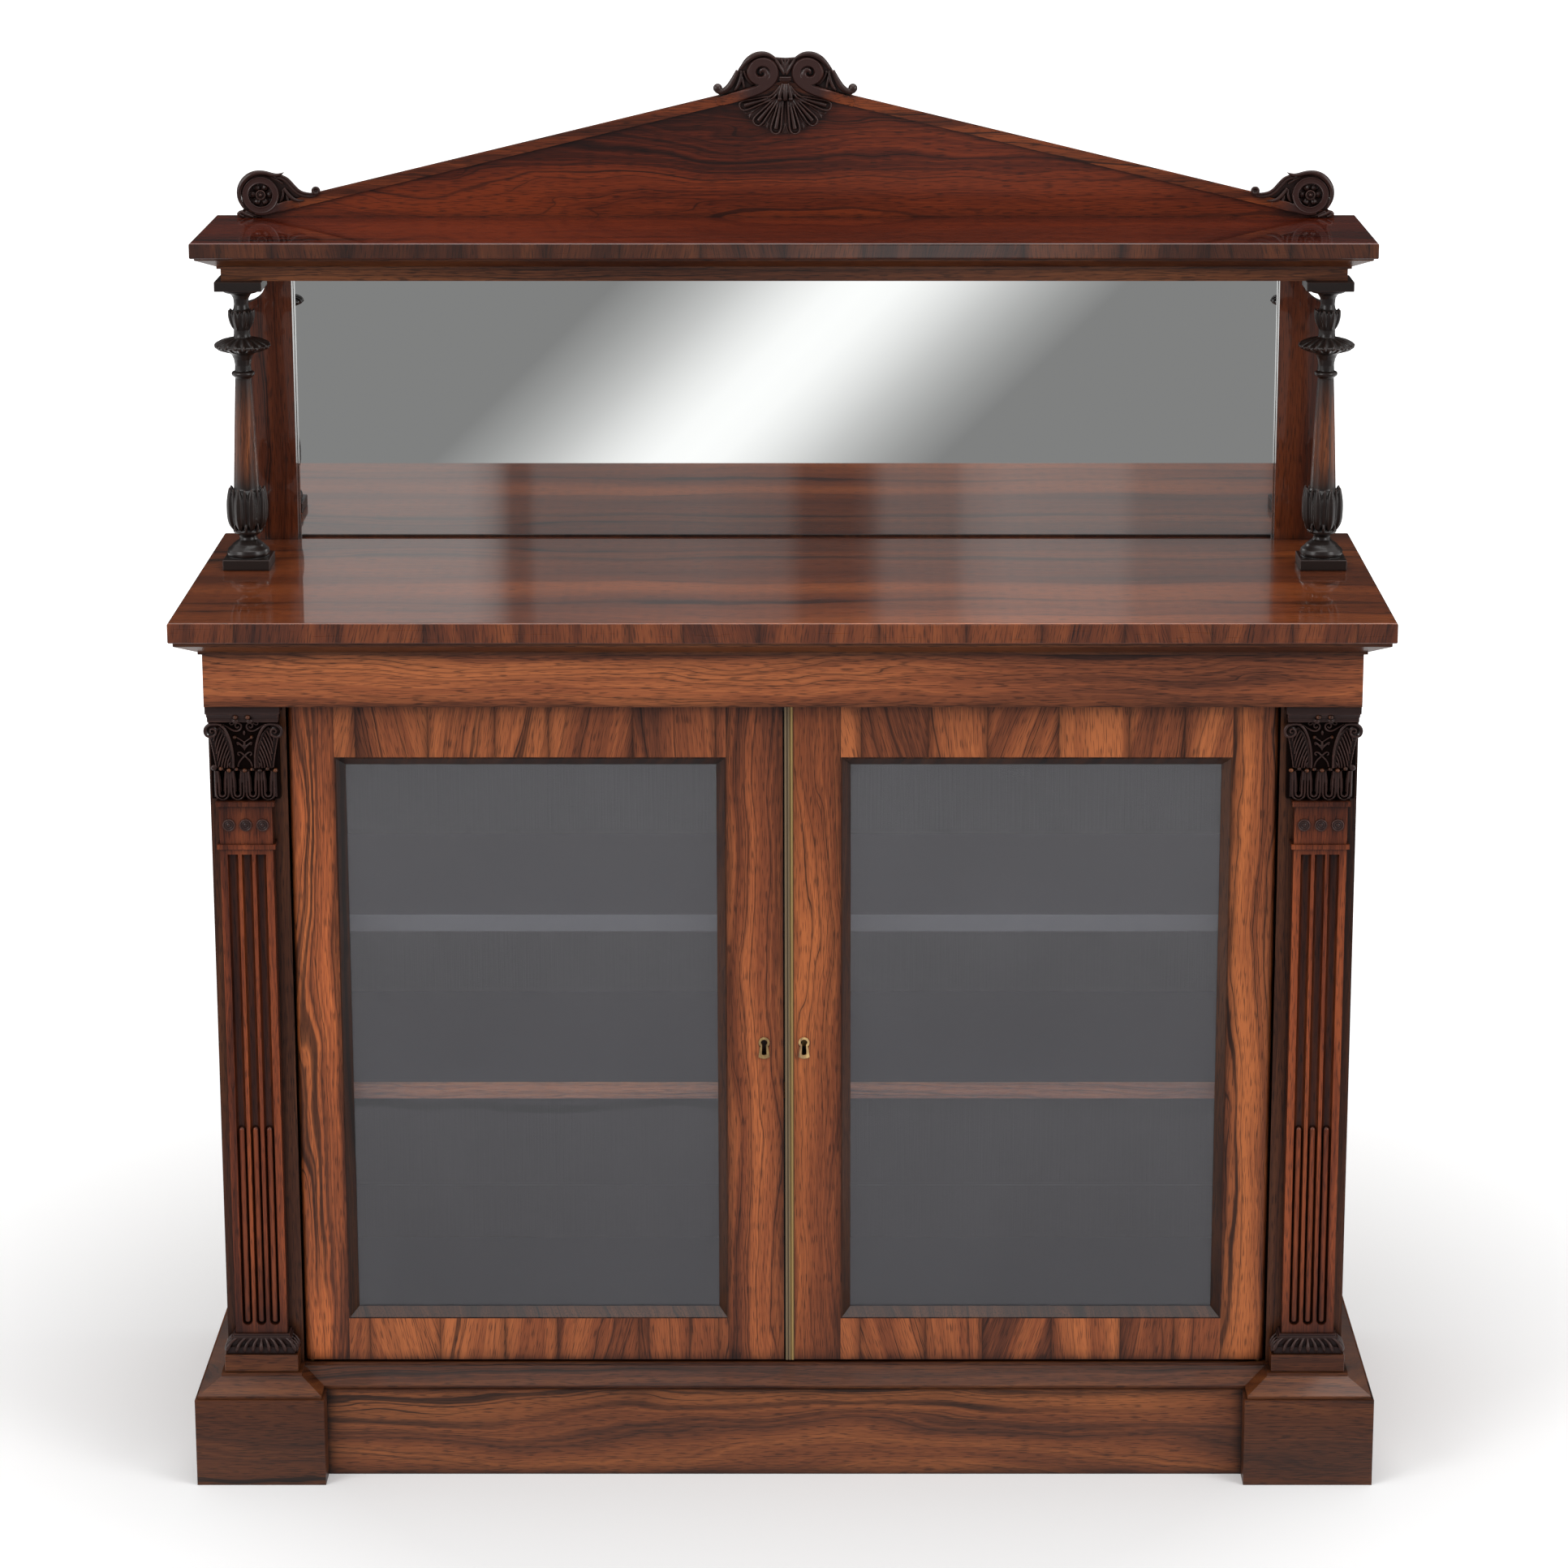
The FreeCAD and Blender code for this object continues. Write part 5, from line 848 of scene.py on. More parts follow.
def loopStroke(middle, reach, lean, half=10):
    # down from the band's top, round the slot and up again
    eye = capital["hole"][0]
    side = [(reach * lean, 688), (reach * 0.98, 780), (reach, 900), (reach * 0.92, eye + reach * 0.72)]
    start = [(middle - out, down, half) for out, down in side]
    end = [(middle + out, down, half) for out, down in reversed(side)]
    return start + [(middle, eye + reach * 1.22, half)] + end


def barbStroke(start, end, half):
    bend = ((start[0] + end[0]) / 2 - 16, (start[1] + end[1]) / 2 - 8)
    return [(*start, half * 0.6), (*bend, half), (end[0] - 4, end[1] + 22, half * 1.05), (*end, half * 0.6)]


def boxOutline(half, low, high):
    return [(-half, low), (half, low), (half, high), (-half, high)]


def buildCapital():
    chart = Chart(*capital["chart"])
    slots = [chart.outline(slotOutline(middle)) for middle in capital["loopCentres"]]
    parts = addCores(capital["cores"])
    for half, low, high, front in capital["bands"]:
        parts.append(drawWeb(boxOutline(half, low, high), 0, front, *slots))
    parts.append(chart.bead(*capital["stud"]))
    strands = [chart.line(loopStroke(middle, reach, lean), height)
               for middle in capital["loopCentres"] for reach, lean, height in capital["loopRows"]]
    strands += chart.raised(capital["plumeStrokes"])
    strands += chart.both([barbStroke(*barb) for barb in capital["barbs"]], capital["barbHeight"])
    strands += chart.raised(capital["fieldStrokes"])
    strands += [chart.line(bud, capital["budHeight"]) for bud in capital["buds"]]
    for side in (1, -1):
        plume = [(side * x, z) for x, z in chart.outline(capital["plume"])]
        parts.append(drawWeb(plume, 0, capital["plumeFront"]))
        parts += [chart.bead(chart.middle + side * out, down, height, size)
                  for out, down, height, size in capital["knobs"]]
    parts += addCores(capital["abacus"])
    for depth, height in capital["lips"]:
        strands.append([(side * capital["lipEnd"], height, depth, capital["lipThick"])
                        for side in (-1, 0, 1)])
    parts.append(drawStrands(strands))
    return workOver(parts, "left_capital_carving", 0.5, 0.55)


addPair(buildCapitalBeads(), "_pilaster_capital", backFoot, "rubbed", replaces=False)
addPair(buildCapital(), "_pilaster_capital", backFoot, "carvedCapital")


# pilaster feet: a gadrooned collar over a plain block
foot = {
    "chart": (765, 872, 0.0641),
    "half": 38.0,
    "block": (38.0, 28.0, 0, 18.6),
    "cores": ((35.0, 24.5, 17.6, 26), (31.0, 22.0, 20, 36.5), (29.3, 20.6, 30, 39)),
    "lobeHeights": (25.2, 26.2, 26.6, 23.4, 20.8),
    "lobes": (
        ((212, 526, 14), (212, 500, 40), (236, 430, 34), (300, 350, 20), (400, 318, 9)),
        ((372, 531, 14), (372, 505, 34), (392, 430, 29), (450, 350, 19), (545, 318, 8)),
        ((498, 531, 14), (498, 505, 34), (515, 430, 29), (565, 350, 19), (645, 318, 8)),
        ((632, 531, 14), (632, 505, 34), (643, 430, 29), (675, 350, 19), (725, 318, 8)),
    ),
    "middleLobe": [(765, 530, 16, 25.4), (765, 500, 40, 26.6), (765, 430, 36, 26.8), (765, 360, 14, 23.6),
                   (765, 322, 6, 21)],
    "endLobe": ((2.6, 20.0, 1.4), (1.6, 22.0, 3.0), (2.0, 27.0, 2.6), (5.4, 32.0, 1.4), (8.2, 34.5, 0.6)),
    "endDepths": (5.5, 13.5, 21.0),
}


def buildFoot():
    chart = Chart(*foot["chart"])
    parts = addCores(foot["cores"])
    lobes = [[(*point, height) for point, height in zip(lobe, foot["lobeHeights"])] for lobe in foot["lobes"]]
    strands = chart.both(lobes, 0) + [chart.line(foot["middleLobe"], 0)]
    for side in (-1, 1):
        for depth in foot["endDepths"]:
            strands.append([(side * (foot["half"] - inset), height, depth, thick)
                            for inset, height, thick in foot["endLobe"]])
    parts.append(drawStrands(strands))
    return workOver(parts, "left_foot_carving", 0.5, 0.6)


def buildFootBlock():
    return modify(nameThing(addCores([foot["block"]])[0], "left_foot_block"), "BEVEL", width=0.9, segments=3)


addPair(buildFoot(), "_pilaster_foot", backFoot, "carved")
addPair(buildFootBlock(), "_pilaster_foot", backFoot, "footBlock", replaces=False)


# neck roundels: three dished rings on each pilaster neck
roundel = {
    "profile": ((6.3, 0.0), (6.3, 1.3), (5.9, 1.8), (5.3, 1.9), (4.8, 1.5), (4.4, 1.3), (4.0, 1.5),
                (3.5, 1.9), (3.0, 1.6), (2.6, 1.3), (2.2, 1.4), (1.6, 1.9), (0.8, 2.2)),
    "pitch": 0.017,
    "height": 0.70095,
    "faceDrop": 0.0026,    # from the astragal's face back to the neck's
}


def turnProfile(profile, steps):
    # a chain of points is spun round the upright axis and its ends closed
    bpy.ops.mesh.primitive_plane_add(size=1)
    thing = bpy.context.object
    chain = thing.data
    chain.clear_geometry()
    whole = [(0, profile[0][1]), *profile, (0, profile[-1][1])]
    points = [(radius, 0, height) for radius, height in whole]
    chain.from_pydata(points, [(n, n + 1) for n in range(len(points) - 1)], [])
    bpy.ops.object.mode_set(mode="EDIT")
    bpy.ops.mesh.select_all(action="SELECT")
    bpy.ops.mesh.spin(steps=steps, angle=math.tau, center=(0, 0, 0), axis=(0, 0, 1))
    bpy.ops.mesh.select_all(action="SELECT")
    bpy.ops.mesh.remove_doubles(threshold=0.0005)
    bpy.ops.mesh.normals_make_consistent(inside=False)
    bpy.ops.object.mode_set(mode="OBJECT")
    return thing


def makeRoundels():
    thing = turnProfile(roundel["profile"], 40)
    thing.data.transform(Matrix.Rotation(math.pi / 2, 4, "X"))
    bpy.ops.object.shade_smooth()
    for hand in hands:
        low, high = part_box(hand + "_pilaster_shaft")
        for number in range(3):
            one = copyPiece(thing, hand + "_neck_roundel_" + str(number + 1))
            across = (low.x + high.x) / 2 + (number - 1) * roundel["pitch"]
            seat(one, Vector((across, low.y + roundel["faceDrop"], roundel["height"])))
            addPiece(one, "carved")
    bpy.data.objects.remove(thing)


makeRoundels()


# escutcheons: keyhole rings let into the doors
escutcheon = {
    "outer": (5.6, 4.3, 5.8, -15.6, 1.6),    # head radius, waist, foot, drop, bow
    "inner": (3.3, 2.1, 2.5, -13.0, 0.8),
    "sunk": 1.2,
    "proud": 0.9,
    "eyeDrop": 0.0044,
    "finish": {"left": "ringBrass", "right": "brightBrass"},
}


def keyholeOutline(head, waist, foot, drop, bow):
    points = []
    for number in range(17):
        angle = math.radians(-50 + 280 * number / 16)
        points.append((head * math.cos(angle), head * math.sin(angle)))
    points += [(-waist, -head * 0.95), (-foot, drop)]
    points += [(foot * (-1 + 2 * n / 8), drop - bow * math.sin(math.pi * n / 8)) for n in range(1, 8)]
    return points + [(foot, drop), (waist, -head * 0.95)]


def makeEscutcheons():
    for hand in hands:
        low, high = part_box(hand + "_escutcheon")
        thing = drawWeb(keyholeOutline(*escutcheon["outer"]), -escutcheon["sunk"], escutcheon["proud"],
                        keyholeOutline(*escutcheon["inner"]))
        modify(nameThing(thing, hand + "_keyhole_ring"), "BEVEL", width=0.35, segments=2)
        bpy.ops.object.shade_smooth_by_angle(angle=math.radians(40))
        seat(thing, Vector(((low.x + high.x) / 2, low.y, high.z - escutcheon["eyeDrop"])))
        addPiece(thing, escutcheon["finish"][hand], hand + "_door", hand + "_escutcheon")


makeEscutcheons()


# a slim dark fillet where the mirror meets the table, standing in for the shade in the gap there
mirrorGapShade = {"tall": 0.0022, "deep": 0.0025, "inset": 0.002}


def makeMirrorGapShade():
    low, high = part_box("mirror_plate")
    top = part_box("top_board")[1].z
    inset = mirrorGapShade["inset"]
    thing = addBlock((low.x + inset, low.y - mirrorGapShade["deep"], top),
                     (high.x - inset, low.y, max(low.z, top) + mirrorGapShade["tall"]))
    addPiece(nameThing(thing, "mirror_foot_gap_shade"), "glazing")


makeMirrorGapShade()


# gallery columns: turned, with lotus bulb, petalled disc and cup
column = {
    "scale": 0.2047,
    "top": 30,
    "foot": 1515,
    "blockHalf": 24.4,
    "blockEnds": (1460, 80),
    "profile": (
        (1462, 96), (1452, 106), (1438, 109), (1420, 104), (1403, 84), (1394, 78), (1386, 66), (1372, 46),
        (1356, 42), (1344, 56), (1336, 72), (1326, 76), (1316, 70), (1306, 64), (1290, 76), (1250, 82),
        (1200, 84), (1130, 82), (1108, 66), (1100, 65), (1000, 61), (800, 53), (620, 45), (536, 41),
        (530, 46), (524, 56), (514, 59), (505, 56), (500, 42), (470, 40), (440, 45), (415, 56), (404, 72),
        (392, 104), (378, 134), (370, 139), (362, 132), (346, 96), (334, 60), (328, 44), (310, 41),
        (290, 41), (280, 44), (240, 50), (200, 56), (190, 46), (182, 40), (160, 36), (130, 39), (112, 48),
        (104, 58), (98, 84), (90, 92), (80, 90),
    ),
    "leaves": (  # count, start, (radius, down, half width) of one
        (8, 0.5, ((70, 1312, 10), (82, 1290, 24), (84, 1220, 26), (84, 1160, 25), (87, 1120, 14),
                  (92, 1100, 4))),
        (8, 0.0, ((60, 1312, 6), (76, 1290, 14), (80, 1200, 14), (83, 1130, 12), (87, 1104, 3))),
        (8, 0.0, ((74, 1318, 8), (88, 1296, 8), (74, 1280, 7))),
        (18, 0.0, ((46, 334, 5), (78, 342, 9), (108, 356, 15), (132, 368, 14), (142, 374, 6))),
        (18, 0.5, ((60, 402, 5), (96, 392, 10), (126, 380, 11), (138, 374, 5))),
        (8, 0.5, ((40, 284, 5), (46, 262, 14), (53, 230, 17), (58, 204, 14), (66, 186, 4))),
        (8, 0.0, ((38, 284, 4), (46, 250, 8), (54, 215, 9), (60, 190, 3))),
    ),
}


def buildColumn():
    scale, half = column["scale"], column["blockHalf"]

    def rise(down):
        return (column["foot"] - down) * scale

    low, high = column["blockEnds"]
    parts = [
        turnProfile([(reach * scale, rise(down)) for down, reach in column["profile"]], 64),
        addBlock((-half, -half, 0), (half, half, rise(low))),
        addBlock((-half, -half, rise(high)), (half, half, rise(column["top"]))),
    ]
    strands = []
    for count, start, leaf in column["leaves"]:
        for number in range(count):
            angle = math.tau * (number + start) / count
            across, back = math.cos(angle), math.sin(angle)
            strands.append([(reach * scale * across, rise(down), reach * scale * back, wide * scale)
                            for reach, down, wide in leaf])
    parts.append(drawStrands(strands))
    return workOver(parts, "left_column_carving", 0.6, 0.5)


def middleFoot(low, high, side):
    return Vector(((low.x + high.x) / 2, (low.y + high.y) / 2, low.z))


addPair(buildColumn(), "_gallery_column", middleFoot, "columnWood")


# scroll ends: a ringed rosette under a leaf, with a curled tail
scrollEnd = {
    "chart": (527, 855, 0.0692),
    "outerEdge": 152,
    "eye": (527, 503),
    "face": 22.4,
    "rakeFace": 18.3,
    "fall": (760, 1060),         # where the face falls back to the rake's
    "rollDepth": 1.6,            # depths are under the face
    "ring": (234, 50),
    "edgeDepth": 0.1,
    "edges": ((275, 8), (190, 8)),
    "hoops": ((2.0, (1375, 436), 46, 25), (1.8, (527, 503), 66, 14)),    # depth, middle, radius, half width
    "petals": 6,
    "petalDepth": 7.6,
    "petal": ((74, 34), (112, 58), (146, 66), (172, 36)),
    "beads": ((527, 503, 4.2, (4.0, 3.2, 4.0)), (527, 503, 1.0, (2.0, 2.0, 2.0)),
              (1375, 436, 4.0, (2.2, 2.6, 2.2))),
    "webDepth": 7.5,
    "web": [(230, 830), (215, 790), (250, 710), (228, 600), (216, 480), (240, 365), (318, 262), (415, 192),
            (530, 166), (645, 192), (735, 232), (840, 225), (865, 258), (948, 362), (1045, 465),
            (1150, 518), (1290, 528), (1350, 470), (1400, 470), (1400, 500), (1300, 540), (1000, 640),
            (760, 790), (600, 830)],
    "band": [(440, 742, 66), (527, 760, 70), (620, 744, 70), (760, 706, 70), (880, 677, 70), (1000, 648, 70),
             (1110, 622, 70)],
    "strokes": (  # depth under the face, stroke
        (1.5, [(262, 700, 14), (205, 600, 30), (190, 480, 38), (218, 360, 46), (300, 245, 50), (405, 172, 44),
               (530, 150, 38), (650, 168, 34), (740, 200, 32), (830, 192, 24), (898, 150, 5)]),
        (3.4, [(300, 262, 12), (400, 196, 18), (530, 176, 20), (650, 205, 20), (760, 262, 22),
               (870, 330, 16)]),
        (2.2, [(800, 200, 14), (893, 209, 22), (974, 279, 25), (1044, 369, 25), (1121, 447, 24),
               (1206, 478, 23), (1300, 486, 20), (1372, 484, 18)]),
        (2.8, [(780, 238, 16), (862, 240, 25), (940, 308, 27), (1010, 398, 27), (1094, 482, 26),
               (1190, 524, 24), (1300, 530, 22), (1385, 506, 20)]),
        (3.6, [(885, 400, 20), (935, 480, 30), (1000, 560, 32), (1080, 602, 26), (1190, 590, 10)]),
        (4.8, [(868, 420, 20), (880, 520, 32), (840, 620, 28), (720, 700, 9)]),
        (5.0, [(905, 430, 12), (925, 520, 20), (952, 612, 38), (962, 640, 20)]),
        (3.6, [(290, 752, 24), (345, 792, 32), (430, 826, 26), (520, 838, 16)]),
        (2.6, [(400, 842, 20), (300, 812, 28), (222, 752, 28), (192, 770, 24), (182, 812, 24),
               (260, 838, 20)]),
    ),
}


def buildRoll():
    # the rake's end, rolled into a ring
    chart = Chart(*scrollEnd["chart"])
    face, eye = scrollEnd["face"], scrollEnd["eye"]
    start, end = [chart.spot(across, 0)[0] for across in scrollEnd["fall"]]
    strokes = (hoop(eye, *scrollEnd["ring"]), scrollEnd["band"])
    band = drawStrands([chart.line(stroke, face - scrollEnd["rollDepth"]) for stroke in strokes])
    flattenFront(band, slopeBetween(start, face, end, scrollEnd["rakeFace"]))
    strokes = [hoop(eye, *edge) for edge in scrollEnd["edges"]]
    edges = drawStrands([chart.line(stroke, face - scrollEnd["edgeDepth"]) for stroke in strokes])
    return workOver([band, edges], "left_scroll_roll", 0.42, 0.6, 2)


def buildScroll():
    chart = Chart(*scrollEnd["chart"])
    face, eye = scrollEnd["face"], scrollEnd["eye"]
    parts = [drawWeb(chart.outline(scrollEnd["web"]), 0, face - scrollEnd["webDepth"])]
    strands = [chart.line(stroke, face - depth) for depth, stroke in scrollEnd["strokes"]]
    strands += [chart.line(hoop(*ring), face - depth) for depth, *ring in scrollEnd["hoops"]]
    for number in range(scrollEnd["petals"]):
        angle = math.tau * number / scrollEnd["petals"]
        ray = [(eye[0] + reach * math.cos(angle), eye[1] - reach * math.sin(angle), half)
               for reach, half in scrollEnd["petal"]]
        strands.append(chart.line(ray, face - scrollEnd["petalDepth"]))
    for across, down, depth, size in scrollEnd["beads"]:
        parts.append(chart.bead(across, down, face - depth, size))
    parts.append(drawStrands(strands))
    return workOver(parts, "left_scroll_carving", 0.42, 0.6, 2)


def scrollFoot(low, high, side):
    middle, foot, scale = scrollEnd["chart"]
    reach = (middle - scrollEnd["outerEdge"]) * scale * 0.001
    outer = low.x if side > 0 else high.x
    return Vector((outer + side * reach, high.y, low.z))


addPair(buildScroll(), "_scroll_end", scrollFoot, "carved")
addPair(buildRoll(), "_scroll_end", scrollFoot, "scrollRoll", replaces=False)


# crest: two volutes rolled out of the rake bands over a ribbed shell
crest = {
    "chart": (792, 800, 0.1269),
    "drawnTop": 98,
    "face": 22.5,
    "rakeFace": 15.3,
    "rise": (240, 520),          # where the rake's face comes forward to the crest's
    "rollDepth": 3.4,            # depths are under the face
    "eye": (605, 282),
    "band": [(215, 532, 42), (330, 500, 43), (430, 471, 43), (520, 442, 43), (592, 414, 43)],
    "turns": [(-62, 104, 43), (0, 97, 43), (90, 93, 43), (180, 96, 43), (225, 84, 42), (270, 66, 40),
              (315, 46, 32), (360, 32, 26), (450, 26, 24), (520, 22, 16), (580, 17, 8)],
    "webDepth": 9,
    "webTop": [(235, 470), (232, 425), (262, 425), (305, 432), (366, 345), (402, 262), (440, 205), (528, 146),
               (600, 134), (686, 165), (792, 172)],
    "webFoot": [(1100, 440), (900, 520), (792, 540), (680, 520), (480, 440)],
    "fanThick": 4.0,
    "fan": [(792, 400), (430, 540), (445, 620), (560, 700), (690, 775), (792, 790), (895, 775), (1024, 700),
            (1139, 620), (1154, 540)],
    "strokes": (  # depth under the face, stroke: arch, leaves, fronds, shield edge, side fronds
        (3.6, [(712, 168, 12), (660, 128, 20), (590, 122, 25), (520, 143, 27), (456, 196, 24),
               (424, 248, 12)]),
        (4.0, [(395, 262, 14), (372, 320, 22), (335, 390, 26), (290, 432, 26), (240, 446, 22), (204, 418, 18),
               (212, 388, 15), (240, 392, 12)]),
        (6.6, [(425, 268, 10), (430, 320, 18), (405, 390, 22), (372, 432, 10)]),
        (6.6, [(448, 268, 10), (462, 320, 16), (500, 372, 18), (560, 402, 8)]),
        (6.6, [(430, 300, 8), (440, 360, 14), (450, 412, 8)]),
        (4.6, [(706, 172, 12), (740, 215, 24), (765, 262, 22), (782, 300, 8)]),
        (4.6, [(752, 158, 8), (770, 190, 14), (782, 240, 12), (788, 285, 5)]),
        (2.6, [(770, 370, 10), (758, 420, 18), (742, 480, 22), (745, 505, 12)]),
        (3.8, [(752, 385, 8), (726, 432, 13), (690, 472, 12), (642, 488, 5)]),
        (3.8, [(748, 402, 7), (732, 455, 11), (702, 490, 10), (672, 500, 5)]),
    ),
    "middleStrokes": (
        (2.4, [(792, 372, 16), (792, 430, 26), (792, 490, 26), (792, 512, 12)]),
        (3.8, [(792, 160, 8), (792, 200, 10), (792, 286, 5)]),
        (2.4, [(744, 322, 9), (792, 327, 10), (840, 322, 9)]),
        (3.0, [(744, 340, 9), (792, 345, 10), (840, 340, 9)]),
    ),
    "beads": (  # out from the middle, down, depth, size
        ((-46, 0, 46), 500, 3.0, (2.6, 2.6, 2.2)),
        ((-562, 562), 412, 6.0, (4.9, 4.9, 4.9)),
    ),
    "ribRise": 5.6,              # rises are over the fan's own ground
    "rimRise": 6.0,
    "dartRise": 4.0,
    "ribs": (((672, 492), (452, 556)), ((722, 500), (566, 682)), ((758, 505), (712, 750))),
    "ribWidths": ((0, 7), (0.5, 13), (0.85, 18), (1, 18)),        # share of the length, half width
    "rimOffsets": ((0.0, 16), (0.45, 27), (0.85, 40), (1.0, 42)),
    "rimShoulder": 34,
    "rimTip": 46,
    "dartCentre": (792, 410),
    "darts": ((508, 618), (640, 706)),
    "dartStart": 110,
    "dartWidths": ((0, 5), (0.6, 9), (0.9, 9), (1, 4)),
    "dartBarb": ((0, 4, 5), (22, 12, 8), (40, 26, 6)),            # ahead, out, half width
    "middleDart": [(792, 520, 5), (792, 640, 9), (792, 700, 5)],
    "middleBarb": [(790, 712, 6), (784, 750, 9), (758, 790, 6)],
}


def buildVolutes():
    # the rakes' upper ends, each rolled into a volute
    chart = Chart(*crest["chart"])
    face = crest["face"]
    start, end = [-chart.spot(across, 0)[0] for across in crest["rise"]]
    fall = slopeBetween(start, crest["rakeFace"], end, face)
    stroke = crest["band"] + spiral(crest["eye"], crest["turns"])
    rolls = drawStrands(chart.both([stroke], face - crest["rollDepth"]))
    flattenFront(rolls, lambda across: fall(abs(across)))
    return workOver([rolls], "crest_volutes", 0.44, 0.6, 2)


def pointing(start, end):
    way = (end - start).normalized()
    return way, Vector((-way.y, way.x))


def tapered(start, end, widths):
    return [(*start.lerp(end, share), wide) for share, wide in widths]


def ribRim(start, end):
    # up one side of a rib, over its tip and down the other
    way, side = pointing(start, end)
    edges = []
    for hand in (-1, 1):
        edge = [start.lerp(end, share) + side * hand * out for share, out in crest["rimOffsets"]]
        edges.append(edge + [end + way * crest["rimShoulder"] + side * hand * crest["rimShoulder"]])
    return [(*point, 8) for point in edges[0] + [end + way * crest["rimTip"]] + edges[1][::-1]]


def dartStrokes(centre, end):
    # a shaft between two ribs and the two barbs past its end
    way, side = pointing(centre, end)
    barbs = [[(*(end + way * ahead + side * out * hand), wide) for ahead, out, wide in crest["dartBarb"]]
             for hand in (-1, 1)]
    return [tapered(centre + way * crest["dartStart"], end, crest["dartWidths"]), *barbs]


def buildCrest(shellGround):
    chart = Chart(*crest["chart"])
    face, middle, top = crest["face"], chart.middle, crest["webTop"]
    web = top + [(2 * middle - across, down) for across, down in reversed(top[:-1])] + crest["webFoot"]
    parts = [
        drawWeb(chart.outline(web), 0, face - crest["webDepth"]),
        drawWeb(chart.outline(crest["fan"]), shellGround, shellGround + crest["fanThick"]),
    ]
    strands = chart.raised(crest["strokes"], face, -1)
    strands += [chart.line(stroke, face - depth) for depth, stroke in crest["middleStrokes"]]
    for start, tip in crest["ribs"]:
        start, tip = Vector(start), Vector(tip)
        strands += chart.both([tapered(start, tip, crest["ribWidths"])], shellGround + crest["ribRise"])
        strands += chart.both([ribRim(start, tip)], shellGround + crest["rimRise"])
    dartHeight = shellGround + crest["dartRise"]
    for tip in crest["darts"]:
        strands += chart.both(dartStrokes(Vector(crest["dartCentre"]), Vector(tip)), dartHeight)
    strands.append(chart.line(crest["middleDart"], dartHeight))
    strands += chart.both([crest["middleBarb"]], dartHeight)
    for outs, down, depth, size in crest["beads"]:
        parts += [chart.bead(middle + out, down, face - depth, size) for out in outs]
    parts.append(drawStrands(strands))
    return workOver(parts, "crest_carving", 0.44, 0.50, 2)


def makeCrest():
    low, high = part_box("pediment_crest")
    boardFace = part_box("pediment_board")[0].y
    carving = buildCrest((high.y - boardFace) * 1000 - 0.5)
    volutes = buildVolutes()
    middle, foot, scale = crest["chart"]
    place = Vector(((low.x + high.x) / 2, high.y, high.z - (foot - crest["drawnTop"]) * scale * 0.001))
    seat(carving, place)
    addPiece(carving, "carved", replaced="pediment_crest")
    seat(volutes, place)
    addPiece(volutes, "crestRoll")


makeCrest()


# studio
studio = {
    "cameraPlace": (0.045, -4.460, 1.914),
    "cameraPitch": 13.24,          # degrees below level
    "cameraLens": 101.07,
    "cameraShift": (-0.028, -0.1),
    "floorSize": 60.0,
    "floorColour": 0.80,
    "glowReach": (0.5, 2.6),       # metres from the piece
    "floorGlow": (0.10, 1.0),
    "worldLight": 0.50,
    "worldShown": 1.0,
    "lamps": (  # name, place, aimed at, size, power
        ("leftSoftbox", (-3.0, -2.6, 2.6), (0, 0, 0.7), (1.8, 2.2), 62),
        ("rightSoftbox", (3.2, -2.2, 2.4), (0, 0, 0.7), (1.6, 2.2), 50),
        ("topSoftbox", (0.2, -0.6, 3.6), (0, 0, 0.6), (2.6, 1.8), 48),
    ),
}


def seenRays(tree):
    # one for a ray from the eye, straight or by way of glass and polish
    ray = addNode(tree, "ShaderNodeLightPath").outputs
    seen = sums(tree, "MAXIMUM", ray["Is Camera Ray"], ray["Is Transmission Ray"])
    return sums(tree, "MAXIMUM", seen, ray["Is Glossy Ray"])


def setWorld(scene):
    scene.world = bpy.data.worlds.new("studio")
    scene.world.use_nodes = True
    tree = scene.world.node_tree
    tree.nodes.clear()
    light, shown = studio["worldLight"], studio["worldShown"]
    strength = sums(tree, "MULTIPLY_ADD", seenRays(tree), shown - light, light)
    show(tree, addNode(tree, "ShaderNodeBackground", {"Color": (1, 1, 1, 1), "Strength": strength}), "World")


def setFloor():
    bpy.ops.mesh.primitive_plane_add(size=studio["floorSize"])
    floor = bpy.context.object
    floor.name = "studioFloor"
    material, tree = startFinish("studio floor")
    cover = addNode(tree, "ShaderNodeBsdfDiffuse", {"Color": (*grey(studio["floorColour"]), 1)})
    away = addNode(tree, "ShaderNodeVectorMath", {0: objectPlace(tree)}, operation="LENGTH").outputs["Value"]
    # the glow fades towards the piece, so the floor round its base is painted darker and the cast shadow
    # shows
    light = between(tree, away, *studio["glowReach"], *studio["floorGlow"])
    glow = addNode(tree, "ShaderNodeEmission", {"Strength": sums(tree, "MULTIPLY", seenRays(tree), light)})
    show(tree, addNode(tree, "ShaderNodeAddShader", {0: cover.outputs[0], 1: glow.outputs[0]}))
    giveFinish(floor, material)


def setLamps():
    for name, place, aim, size, power in studio["lamps"]:
        bpy.ops.object.light_add(type="AREA", location=place)
        lamp = bpy.context.object
        lamp.name = name
        lamp.rotation_euler = (Vector(aim) - Vector(place)).to_track_quat("-Z", "Y").to_euler()
        lamp.data.shape = "RECTANGLE"
        lamp.data.size, lamp.data.size_y = size
        lamp.data.energy = power


def setCamera(scene):
    pitch = math.radians(90 - studio["cameraPitch"])
    bpy.ops.object.camera_add(location=studio["cameraPlace"], rotation=(pitch, 0, 0))
    scene.camera = bpy.context.object
    view = scene.camera.data
    view.sensor_width = 36
    view.lens = studio["cameraLens"]
    view.shift_x, view.shift_y = studio["cameraShift"]


bpy.context.scene.view_settings.view_transform = "Standard"
setWorld(bpy.context.scene)
setFloor()
setLamps()
setCamera(bpy.context.scene)
print("studio set")


